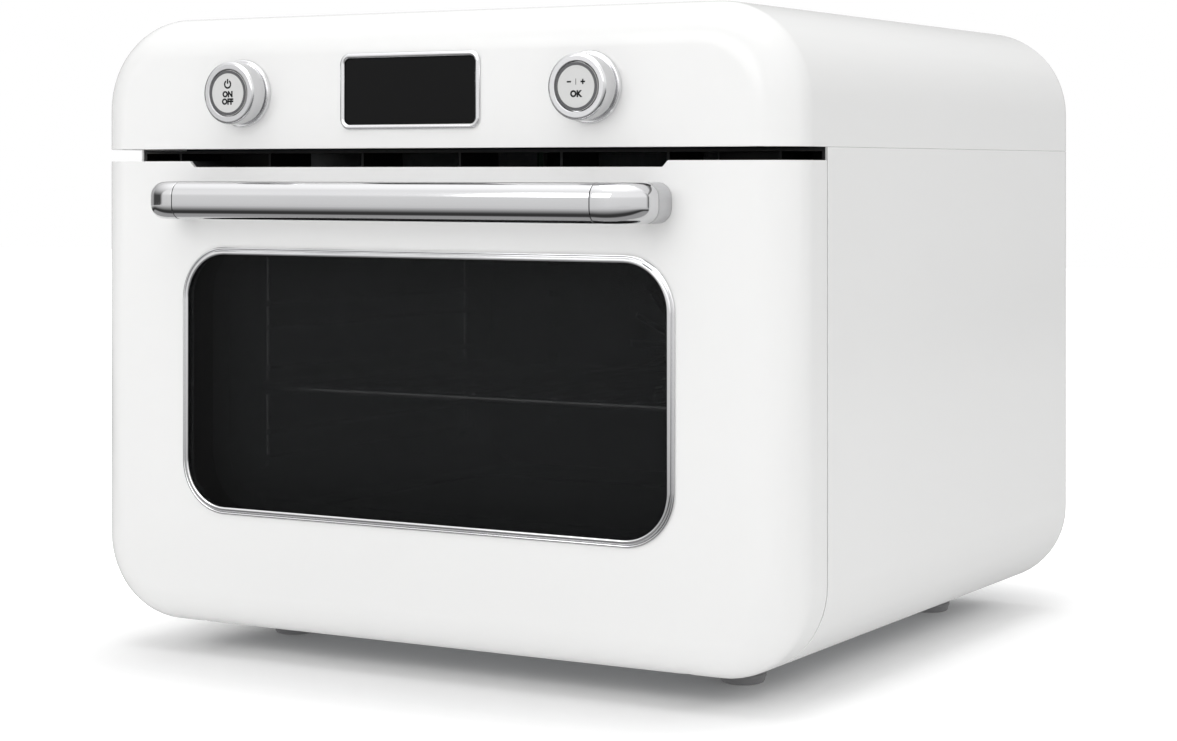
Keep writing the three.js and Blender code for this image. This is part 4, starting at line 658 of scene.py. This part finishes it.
def notch(bm):
    """Slots the skin underneath, where the fixed hinge arms pass out."""
    places = [(at(side * reach, 0, 0), (1, 0, 0)) for _, side in sides
              for reach in (arm_offset - notch_half, arm_offset + notch_half)]
    places += [(at(0, notch_front, 0), (0, 1, 0)), (at(0, 0, notch_top), (0, 0, 1))]
    limit = at(0, notch_front - ahead_of_notch, notch_top + above_notch)

    def underside():
        return [face for face in bm.faces if face.calc_center_median().z < limit.z
                and face.calc_center_median().y > limit.y]

    for place, way in places:
        cut_faces(bm, underside(), place, way)
    gone = []
    for face in underside():
        middle = face.calc_center_median()
        inside = abs(abs(middle.x) - arm_offset * MM) < notch_half * MM
        if inside and middle.y > at(0, notch_front, 0).y and middle.z < at(0, 0, notch_top).z:
            gone.append(face)
    bmesh.ops.delete(bm, geom=gone, context="FACES")


door_skin()
print("door skin made")

# %% [markdown]
# A frame round a rounded rectangle is an outline that is drawn once, then carried on step by step, a little
# further out or deeper each time. The list of steps is the frame's section, as it would be seen if the frame
# were sawn through. The last step falls on the first and is merged with it.

# %% Frames with a section
def carry(bm, edges):
    """Extrudes a loop of edges on the spot, and returns the new edges and points."""
    made = bmesh.ops.extrude_edge_only(bm, edges=edges)["geom"]
    verts = set(pick(made, BMVert))
    return [edge for edge in pick(made, BMEdge) if set(edge.verts) <= verts], verts


def ring_frame(width, height, radius, middle, section, segments=10, across=0):
    """Skins a closed section of (margin, depth) steps round a rounded rectangle."""
    bm = bmesh.new()
    flat = Vector((width / 2 - radius, height / 2 - radius)) * MM
    centre = at(across, 0, middle)

    def settle_ring(verts, margin, depth):
        for vert in verts:
            x, z = vert.co.x - centre.x, vert.co.z - centre.z
            corner = Vector((max(-flat.x, min(flat.x, x)), max(-flat.y, min(flat.y, z))))
            out = (Vector((x, z)) - corner).normalized() * (radius + margin) * MM
            vert.co = Vector((centre.x + corner.x + out.x, at(0, depth, 0).y, centre.z + corner.y + out.y))

    edges = rounded_outline(bm, width + 2 * section[0][0], height + 2 * section[0][0], radius + section[0][0],
                            centre, segments)
    settle_ring({vert for edge in edges for vert in edge.verts}, *section[0])
    for step in section[1:] + section[:1]:
        edges, verts = carry(bm, edges)
        settle_ring(verts, *step)
    return bm


# %% [markdown]
# The window's chrome frame has two ridges: a round one next to the glass, and a lower flat one that lies on
# the enamel. The groove between them draws the thin dark line that is seen all round it.

# %% Window frame
trim_section = [
    (0.0, -0.4), (0.0, -1.3), (0.3, -1.8), (0.9, -2.1), (1.6, -2.1), (2.2, -1.85), (2.6, -1.35), (2.8, -0.75),
    (3.0, -0.7), (3.2, -1.1), (3.7, -1.25), (4.2, -1.15), (4.55, -0.85), (4.6, -0.3), (2.7, -0.3), (2.7, 6.0),
    (1.5, 6.0), (1.5, -0.4),
]
window_frame = ring_frame(window_width, window_height, window_corner, window_middle, trim_section, window_steps)
piece("window_frame", window_frame, "door", "chrome", ["window_trim"], turn_out=True, finish="bright_trim")

# %% [markdown]
# The display has a narrow bright frame with a rolled edge, which stands a little proud of the hood.

# %% Display frame
display_section = [
    (0.3, 4.5), (0.3, -0.6), (0.45, -1.1), (0.9, -1.5), (1.6, -1.7), (2.4, -1.65), (3.0, -1.35), (3.35, -0.8),
    (3.4, -0.3), (1.2, -0.3), (1.2, 4.5),
]
display_frame = ring_frame(display_width, display_height, display_corner, control_height, display_section,
                           segments=6, across=front_shift)
piece("display_frame", display_frame, "case", "chrome", ["display_bezel"], turn_out=True, finish="bright_trim")
print("frames made")

# %% [markdown]
# Knobs, feet, the cable sleeve and screws are turned shapes. Their outline is drawn from the axis outwards as a
# chain of edges, and spun once round.

# %% Turned shapes
def turned(outline, place, axis="Y", steps=64):
    """Spins a chain of (radius, along) points round an axis through a place."""
    bm = bmesh.new()
    verts = [bm.verts.new((radius * MM, along * MM, 0)) for radius, along in outline]
    edges = [bm.edges.new(pair) for pair in zip(verts, verts[1:])]
    bmesh.ops.spin(bm, geom=verts + edges, cent=(0, 0, 0), axis=(0, 1, 0), angle=full_turn, steps=steps,
                   use_merge=True, use_duplicate=False)
    if axis == "Z":
        turn(bm, bm.verts, upright)
    bmesh.ops.translate(bm, vec=place, verts=bm.verts)
    return bm


def arc(middle, radius, start, end, steps):
    """Points of an arc in an outline, by the angles of its ends in degrees."""
    places = []
    for step in range(steps + 1):
        angle = math.radians(start + (end - start) * step / steps)
        places.append((middle[0] + radius * math.cos(angle), middle[1] + radius * math.sin(angle)))
    return places


# %% [markdown]
# A knob has three parts. A coned flange stands still on the hood. The ring turns on it: its side is polished, and
# its broad face is satin. The middle is a button that is pressed in, with a grey ring round its edge.

# %% Knobs
flange_outline = [(6.8, -2.6), (19.4, -2.6)] + arc((19.4, -1.9), 0.7, -90, 0, 4) + [
    (20.5, -0.9), (20.5, -0.3), (10.2, -0.3), (10.2, 4.4), (6.8, 4.4), (6.8, -2.6)]
knob_face = -15.0
knob_reach = 18.7
rim_outline = [(14.0, -12.0), (14.0, knob_face + 0.5), (14.2, knob_face + 0.12), (14.6, knob_face),
               (16.9, knob_face), (16.9, knob_face + 0.7), (14.8, knob_face + 0.7), (14.8, -12.0), (14.0, -12.0)]
ring_side = [(4.3, 9.2), (4.3, -9.0), (14.0, -9.0), (14.0, -12.0), (14.8, -12.0), (14.8, knob_face + 0.7),
             (16.9, knob_face + 0.7)]
ring_side += arc((16.9, knob_face + 1.8), 1.8, -90, 0, 7) + [(knob_reach, -3.6)]
ring_side += arc((18.1, -3.5), 0.6, 0, 90, 3) + [(6.5, -2.9), (6.5, 9.2), (4.3, 9.2)]
button_face = -15.3
button_outline = [(0, button_face), (11.6, button_face), (11.8, button_face + 0.25), (13.2, button_face + 0.25),
                  (13.5, button_face + 0.5), (13.5, -12.3), (3.8, -12.3), (3.8, 7.4), (0, 7.4)]
grey_outline = [(11.75, button_face + 0.3), (11.75, button_face + 0.08), (13.35, button_face + 0.08),
                (13.35, button_face + 0.3), (11.75, button_face + 0.3)]


def knob(word, side):
    place = at(front_shift + side * knob_offset, 0, control_height)
    for ending, outline, body, slot, stands_for, finish in (
            ("base", flange_outline, "case", "chrome", ["flange"], "bright_trim"),
            ("grip", ring_side, word + "_knob", "chrome", ["ring"], "chrome"),
            ("rim", rim_outline, word + "_knob", "chrome", [], "satin_ring"),
            ("push", button_outline, word + "_button", "white_plastic", ["button"], "satin_white"),
            ("line", grey_outline, word + "_button", "white_plastic", [], "ring_grey")):
        nodes = [word + "_knob_" + node for node in stands_for]
        piece(word + "_knob_" + ending, turned(outline, place), body, slot, nodes, turn_out=True, finish=finish)


for word, side in sides:
    knob(word, side)
print("knobs made")

# %% [markdown]
# The marks on the buttons are printed. Letters come from Blender's own typeface, and the signs are thin bars and
# an arc, all a hair proud of the button.

# %% Printed marks
mark_depth = 0.06
stroke_spread = 0.30


def letters(name, text, size, place, body):
    words = bpy.data.curves.new(name, "FONT")
    words.body = text
    words.size = size * MM
    words.align_x = "CENTER"
    words.align_y = "CENTER"
    words.bevel_depth = stroke_spread * MM
    words.bevel_resolution = 0
    words.resolution_u = 3
    bm = bmesh.new()
    bm.from_mesh(mesh_of(name + "_curve", words))
    bmesh.ops.scale(bm, vec=(1, 1, mark_depth / stroke_spread / 2), verts=bm.verts)
    turn(bm, bm.verts, upright)
    bmesh.ops.translate(bm, vec=place, verts=bm.verts)
    piece(name, bm, body, "white_plastic", finish="mark_ink")


def bar_mark(bm, width, height, x, z, y):
    """A thin printed bar."""
    made = bmesh.ops.create_cube(bm, size=1)
    verts = made["verts"]
    bmesh.ops.scale(bm, vec=(width * MM, mark_depth * MM, height * MM), verts=verts)
    bmesh.ops.translate(bm, vec=at(x, y, z), verts=verts)


def arc_mark(bm, radius, width, x, z, y, gap):
    """A printed arc, open at the top by a gap in degrees."""
    start = math.radians(90 + gap / 2)
    verts = []
    for reach in (radius - width / 2, radius + width / 2):
        verts.append(bm.verts.new(at(x + reach * math.cos(start), y, z + reach * math.sin(start))))
    edge = bm.edges.new(verts)
    bmesh.ops.spin(bm, geom=verts + [edge], cent=at(x, y, z), axis=(0, -1, 0),
                   angle=full_turn - math.radians(gap), steps=28)


mark_plane = button_face - mark_depth / 2
left_knob, right_knob = front_shift - knob_offset, front_shift + knob_offset
power_radius, power_width, power_gap = 2.2, 1.05, 62
power_bar, power_bar_length = 1.0, 2.8
power_rise, power_bar_rise = 5.2, 6.9
word_size, ok_size = 4.7, 4.8
upper_line, lower_line, ok_line = control_height - 0.9, control_height - 5.3, control_height - 4.2
left_marks = bmesh.new()
arc_mark(left_marks, power_radius, power_width, left_knob, control_height + power_rise, mark_plane, power_gap)
bar_mark(left_marks, power_bar, power_bar_length, left_knob, control_height + power_bar_rise, mark_plane)
piece("power_sign", left_marks, "left_button", "white_plastic", finish="mark_ink")
letters("left_word_upper", "ON", word_size, at(left_knob, mark_plane, upper_line), "left_button")
letters("left_word_lower", "OFF", word_size, at(left_knob, mark_plane, lower_line), "left_button")

sign_offset, sign_rise, sign_stroke = 4.4, 2.6, 0.85
minus_length, plus_length, divider_width, divider_length = 2.7, 2.9, 0.3, 3.4
over_print = 0.01
sign_height = control_height + sign_rise
right_marks = bmesh.new()
bar_mark(right_marks, minus_length, sign_stroke, right_knob - sign_offset, sign_height, mark_plane)
bar_mark(right_marks, divider_width, divider_length, right_knob, sign_height, mark_plane)
bar_mark(right_marks, plus_length, sign_stroke, right_knob + sign_offset, sign_height, mark_plane)
bar_mark(right_marks, sign_stroke, plus_length, right_knob + sign_offset, sign_height, mark_plane - over_print)
piece("less_more_sign", right_marks, "right_button", "white_plastic", finish="mark_ink")
letters("right_word", "OK", ok_size, at(right_knob, mark_plane, ok_line), "right_button")
print("marks made")

# %% [markdown]
# The handle is one rounded section, bent back to the door at both ends. The hairlines between its bar and its
# bends are real gaps. The bright part stops a little short of the door, on a satin post.

# %% Handle
handle_front = -40
handle_height, handle_thickness, handle_corner = 22.5, 19, 8.5
handle_half, bend_radius, joint_place, joint_gap = 171.5, 25, 142.5, 0.2
handle_wall = 2
gap_round = 0.25
post_back = -0.3


def handle_section(bm, x, inset=0):
    """Draws the handle's section, facing along X, and returns its edges."""
    edges = rounded_outline(bm, handle_thickness - 2 * inset, handle_height - 2 * inset, handle_corner - inset,
                            Vector((0, 0, 0)))
    verts = list({vert for edge in edges for vert in edge.verts})
    turn(bm, verts, Matrix.Rotation(math.pi / 2, 3, "Z"))
    bmesh.ops.translate(bm, vec=at(x, handle_front + handle_thickness / 2, handle_rise), verts=verts)
    return edges


def handle_tube():
    bm = bmesh.new()
    half = joint_place - joint_gap
    steps = [(half, gap_round), (half - gap_round, 0), (-half + gap_round, 0), (-half, gap_round)]
    inside = [(-half, handle_wall), (half, handle_wall)]
    rings = [handle_section(bm, x, inset) for x, inset in steps + inside]
    for first, second in zip(rings, rings[1:] + rings[:1]):
        bmesh.ops.bridge_loops(bm, edges=first + second)
    bmesh.ops.translate(bm, vec=Vector((front_shift * MM, 0, 0)), verts=bm.verts)
    piece("handle_tube", bm, "door", "chrome", ["handle_bar"], turn_out=True)


def handle_end(word, side):
    """A bent end in bright metal, and the satin post that it closes on."""
    bm = bmesh.new()
    start = joint_place + joint_gap
    bend_start = handle_half - bend_radius
    steps = ((start, gap_round), (start + gap_round, 0), (bend_start, 0))
    rings = [handle_section(bm, x, inset) for x, inset in steps]
    for first, second in zip(rings, rings[1:]):
        bmesh.ops.bridge_loops(bm, edges=first + second)
    bmesh.ops.edgeloop_fill(bm, edges=rings[0])
    edges = rings[-1]
    verts = list({vert for edge in edges for vert in edge.verts})
    last = bmesh.ops.spin(bm, geom=verts + edges, cent=at(bend_start, handle_front + bend_radius, 0),
                          axis=(0, 0, 1), angle=math.pi / 2, steps=18)["geom_last"]
    bmesh.ops.edgeloop_fill(bm, edges=pick(last, BMEdge))
    post = bmesh.new()
    post_middle = at(handle_half - handle_thickness / 2, handle_front + bend_radius + 2 * joint_gap, handle_rise)
    shape = rounded_outline(post, handle_thickness, handle_height, handle_corner, post_middle)
    bmesh.ops.edgeloop_fill(post, edges=shape)
    push_back(post, shape, post_back)
    bmesh.ops.edgeloop_fill(post, edges=[edge for edge in post.edges if edge.is_boundary])
    for mesh in (bm, post):
        if side < 0:
            bmesh.ops.scale(mesh, vec=(-1, 1, 1), verts=mesh.verts)
        bmesh.ops.translate(mesh, vec=Vector((front_shift * MM, 0, 0)), verts=mesh.verts)
    piece(word + "_handle_bend", bm, "door", "satin_metal", [word + "_handle_end"], turn_out=True, finish="chrome")
    piece(word + "_handle_post", post, "door", "satin_metal", turn_out=True)


handle_tube()
for word, side in sides:
    handle_end(word, side)
print("handle made")

# %% [markdown]
# The oven stands on four ribbed rubber feet. The outlet for the lead is a ribbed sleeve in the rear panel, which
# ten screws hold.

# %% Feet, cable sleeve and rear screws
foot_outline = [(0, -18), (11.2, -18), (12.2, -17.6), (12.8, -16.6)]
for rib in range(4):
    height = -14.5 + rib * 3.1
    reach = 13.3 + rib * 0.95
    foot_outline += [(reach, height), (reach + 0.5, height + 0.6), (reach + 0.5, height + 1.9), (reach, height + 2.4)]
foot_outline += [(16.9, -1.6), (16.6, -0.3), (4.5, -0.3), (4.5, 4.0), (0, 4.0)]
foot_rows = (("front", 100.8), ("rear", 380))
foot_offset = 160
for row, depth in foot_rows:
    for word, side in sides:
        shape = turned(foot_outline, at(side * foot_offset, depth, 0), "Z", steps=48)
        piece(row + "_" + word + "_rubber_foot", shape, "case", "rubber", [row + "_" + word + "_foot"], turn_out=True,
              finish="foot_rubber")

gland_outline = [(4.5, 428), (6.9, 428), (6.9, 436.3), (10.6, 436.3), (11.0, 436.7), (11.0, 437.8), (10.6, 438.2),
                 (7.6, 438.6), (7.9, 439.4), (7.3, 440.0), (7.5, 440.8), (7.0, 441.6), (6.4, 442.0), (4.5, 442.0),
                 (4.5, 428)]
gland_across, gland_height = -160, 38
piece("cable_sleeve", turned(gland_outline, at(gland_across, 0, gland_height), steps=40), "case", "black_plastic",
      ["cable_gland"], turn_out=True)

screw_outline = [(0, 436.9), (1.0, 436.9), (1.25, 437.45), (2.1, 437.3), (3.1, 436.8), (3.6, 436.1), (3.6, 435.7),
                 (0, 435.7)]
screw_places = [(-205, 60), (-205, 185), (-205, 310), (205, 60), (205, 185), (205, 310), (-110, 347), (110, 347),
                (-80, 26), (80, 26)]
screws = bmesh.new()
for x, height in screw_places:
    one = turned(screw_outline, at(x, 0, height), steps=24)
    loose = bpy.data.meshes.new("screw")
    one.to_mesh(loose)
    one.free()
    screws.from_mesh(loose)
    bpy.data.meshes.remove(loose)
piece("rear_screws", screws, "case", "satin_metal", turn_out=True)
print("feet, sleeve and screws made")

# %% [markdown]
# Shelf wires and their ladders are bent from round wire. A chain of points gives the route, its corners are
# rolled into bends, and a round section follows it.

# %% Bent wire
def bent_route(corners, bend, steps=5):
    """Rounds the corners of a route of points in millimetres."""
    bm = bmesh.new()
    verts = [bm.verts.new(Vector(corner)) for corner in corners]
    for pair in zip(verts, verts[1:]):
        bm.edges.new(pair)
    roll(bm, verts[1:-1], bend, steps, "VERTICES")
    ends = [vert for vert in bm.verts if len(vert.link_edges) == 1]
    start = min(ends, key=lambda vert: (vert.co - Vector(corners[0])).length)
    route = [start]
    while len(route) < len(bm.verts):
        neighbours = [edge.other_vert(route[-1]) for edge in route[-1].link_edges]
        route.append(next(vert for vert in neighbours if vert not in route))
    points = [vert.co.copy() for vert in route]
    bm.free()
    return points


wire_rounding = 3


def wire_work(name, routes, node):
    """Makes one piece of several wires, each (points, radius)."""
    shape = bmesh.new()
    for points, radius in routes:
        curve = bpy.data.curves.new(name, "CURVE")
        curve.dimensions = "3D"
        curve.bevel_depth = radius * MM
        curve.bevel_resolution = wire_rounding
        curve.use_fill_caps = True
        line = curve.splines.new("POLY")
        line.points.add(len(points) - 1)
        for point, place in zip(line.points, points):
            point.co = (*at(*place), 1)
        shape.from_mesh(mesh_of(name + "_route", curve))
    piece(name, shape, "case", "wire_chrome", [node], turn_out=True)


# %% Shelf and its ladders
cavity_half = 180
ladder_x = 171.2
ladder_front, ladder_rear = 86, 318
ladder_low, ladder_top = 88, 226
rungs = (95, 111, 137, 152, 178, 193)
rung_inset, rung_overhang = 3.7, 4
wall_gap = 0.3
wire_radius, ladder_bend = 2, 6
shelf_height, shelf_half, shelf_front, shelf_rear = 141.7, 166.2, 62, 312
rim_radius, rim_bend = 2.4, 12
bar_count, bar_radius, bar_rise = 11, 1.6, 2


def ladder(word, side):
    routes = []
    wall, post = side * (cavity_half - wall_gap), side * ladder_x
    for depth in (ladder_front, ladder_rear):
        corners = [(wall, depth, ladder_low), (post, depth, ladder_low), (post, depth, ladder_top),
                   (wall, depth, ladder_top)]
        routes.append((bent_route(corners, ladder_bend), wire_radius))
    for height in rungs:
        x = side * (ladder_x - rung_inset)
        ends = [(x, ladder_front - rung_overhang, height), (x, ladder_rear + rung_overhang, height)]
        routes.append((ends, wire_radius))
    wire_work(word + "_shelf_ladder", routes, word + "_rack_support")


def shelf():
    middle = (shelf_front + shelf_rear) / 2
    flat = [(shelf_half, middle), (shelf_half, shelf_front), (-shelf_half, shelf_front), (-shelf_half, shelf_rear),
            (shelf_half, shelf_rear), (shelf_half, middle)]
    routes = [(bent_route([(x, y, shelf_height) for x, y in flat], rim_bend), rim_radius)]
    for bar in range(bar_count):
        across = (bar - bar_count // 2) * 2 * shelf_half / (bar_count + 1)
        ends = [(across, depth, shelf_height + bar_rise) for depth in (shelf_front, shelf_rear)]
        routes.append((ends, bar_radius))
    wire_work("wire_shelf", routes, "wire_rack")


for word, side in sides:
    ladder(word, side)
shelf()
print("shelf made")

# %% [markdown]
# The studio is a pale floor that runs out of sight, with a white surround. The floor takes the oven's shadow, and
# is lifted to white with the distance from the oven's footprint. The smaller lift near the footprint leaves painted
# shade round the oven on top of its real shadow. It also glows a little upwards, as a lit white floor does. Mirror
# rays see a card of grey bands in its place.

# %% Floor
def bands(tree, share, stops):
    """Grey tones along a share from 0 to 1, each stop a (place, tone)."""
    ramp = tree.nodes.new("ShaderNodeValToRGB")
    marks = ramp.color_ramp.elements
    while len(marks) < len(stops):
        marks.new(0.5)
    for mark, (place, tone) in zip(marks, stops):
        mark.position = place
    for mark, (place, tone) in zip(marks, stops):
        mark.color = (tone, tone, tone, 1)
    plug(tree, ramp.inputs[0], share)
    return Shade(tree, ramp.outputs[0])


def make_floor():
    bm = bmesh.new()
    bmesh.ops.create_grid(bm, x_segments=8, y_segments=8, size=floor_half)
    floor = object_of("studio_floor", bm)
    paint = Finish("studio_floor", Base_Color=(0.86, 0.86, 0.86), Roughness=0.9, Specular_IOR_Level=0.0)
    seen = paint.node("LightPath", out="Is Camera Ray")
    mirrored = paint.node("LightPath", out="Is Glossy Ray")
    passed = paint.node("LightPath", out="Is Transmission Ray")

    def vector_step(operation, first, second=(0, 0, 0)):
        made = paint.tree.nodes.new("ShaderNodeVectorMath")
        made.operation = operation
        plug(paint.tree, made.inputs[0], first)
        made.inputs[1].default_value = second
        return Shade(paint.tree, made.outputs["Value" if operation == "LENGTH" else "Vector"])

    away = vector_step("LENGTH", vector_step("MINIMUM", paint.place((side_share, 1, 1)), (floor_half, 0, floor_half)))
    # Painted shade: the lift is least at the oven's footprint and grows with the gap from it, so the floor is painted
    # darker round the oven, on top of the real shadow.
    folded = vector_step("ABSOLUTE", paint.place())
    gap = vector_step("LENGTH", vector_step("MAXIMUM", vector_step("SUBTRACT", folded, footprint)))
    lift = paint.node("MapRange", {"interpolation_type": "SMOOTHSTEP"}, Value=gap, From_Min=lift_from,
                      From_Max=lift_to, To_Min=near_lift, To_Max=far_lift)
    bounced = paint.node("LightPath", out="Is Diffuse Ray")
    paint.set(Emission_Color=(1, 1, 1), Emission_Strength=seen.at_least(passed) * lift + bounced * floor_glow)
    card = paint.tree.nodes.new("ShaderNodeEmission")
    plug(paint.tree, card.inputs["Color"], bands(paint.tree, away * (1 / floor_half), floor_bands))
    mix = paint.tree.nodes.new("ShaderNodeMixShader")
    plug(paint.tree, mix.inputs[0], mirrored)
    paint.tree.links.new(paint.shader.outputs[0], mix.inputs[1])
    paint.tree.links.new(card.outputs[0], mix.inputs[2])
    paint.tree.links.new(mix.outputs[0], paint.tree.nodes["Material Output"].inputs["Surface"])
    floor.data.materials.append(paint.material)


floor_half = 6.0
side_share = 0.3
footprint = (0.155, 0.19, 0.0)
lift_from, lift_to = 0.0, 0.25
near_lift, far_lift = 0.03, 0.75
floor_glow = 0.16
floor_bands = [(0.0, 0.45), (0.055, 0.40), (0.062, 0.05), (0.085, 0.05), (0.12, 0.30), (0.20, 0.60), (0.5, 0.80)]
make_floor()

# %% [markdown]
# Polished metal shows whatever stands round it, and bright and dark bands are what make chrome read as chrome.
# The world is built of such bands, by the height and the direction of each ray. Only mirror rays see them, and
# the camera sees plain white.

# %% World
def make_world():
    world = bpy.data.worlds.new("studio_world")
    world.use_nodes = True
    tree = world.node_tree
    tree.nodes.clear()

    def add(kind, **sockets):
        made = tree.nodes.new("ShaderNode" + kind)
        for name, value in sockets.items():
            plug(tree, made.inputs[name.replace("_", " ")], value)
        return made

    rays = add("LightPath")
    way = add("TexCoord")
    split = add("SeparateXYZ")
    tree.links.new(way.outputs["Generated"], split.inputs[0])
    east, north, up = (Shade(tree, socket) for socket in split.outputs)
    heading = east.maths("ARCTAN2", east, north * -1)
    rise_tone = bands(tree, up * 0.5 + 0.5, rise_bands)
    turn_tone = bands(tree, heading * (1 / full_turn) + 0.5, turn_bands)
    room = add("Background", Color=rise_tone * turn_tone.at_least(up * ceiling), Strength=room_light)
    soft = add("Background", Color=(1, 1, 1), Strength=ambient)
    white = add("Background", Color=(1, 1, 1))
    out = add("OutputWorld")

    def choose(question, no, yes, goal):
        mix = add("MixShader")
        tree.links.new(rays.outputs[question], mix.inputs[0])
        tree.links.new(no.outputs[0], mix.inputs[1])
        tree.links.new(yes.outputs[0], mix.inputs[2])
        tree.links.new(mix.outputs[0], goal)
        return mix

    plain = choose("Is Glossy Ray", soft, room, out.inputs["Surface"])
    choose("Is Camera Ray", plain, white, out.inputs["Surface"])
    bpy.context.scene.world = world


rise_bands = [(0.0, 0.6), (0.49, 0.75), (0.55, 0.85), (0.62, 1.0), (1.0, 1.0)]
turn_bands = [(0.0, 0.35), (0.14, 0.35), (0.22, 0.50), (0.245, 0.08), (0.33, 0.08), (0.355, 0.90), (0.5, 1.0),
              (0.79, 0.95), (0.81, 0.08), (0.92, 0.08), (0.95, 0.35)]
room_light, ambient, ceiling = 1.25, 0.64, 1.4
make_world()

# %% [markdown]
# Three soft lamps do the rest: a broad one in front, one above that catches the rounded top edge, and a weaker
# one from the right.

# %% Lamps
def area_lamp(name, place, target, size, power, mirrored=True):
    data = bpy.data.lights.new(name, "AREA")
    data.shape = "RECTANGLE"
    data.size, data.size_y = size
    data.energy = power
    lamp = bpy.data.objects.new(name, data)
    lamp.location = place
    aim = Vector(target) - Vector(place)
    lamp.rotation_euler = aim.to_track_quat("-Z", "Y").to_euler()
    lamp.visible_glossy = mirrored
    show(lamp)


oven_middle = (0, 0, 0.2)
area_lamp("front_lamp", (-0.5, -2.8, 1.3), oven_middle, (2.2, 1.4), 18)
area_lamp("top_lamp", (0.1, -0.3, 2.3), oven_middle, (1.8, 1.8), 20)
area_lamp("side_lamp", (2.6, 0.4, 1.2), oven_middle, (1.4, 1.6), 8, mirrored=False)
print("three lamps")
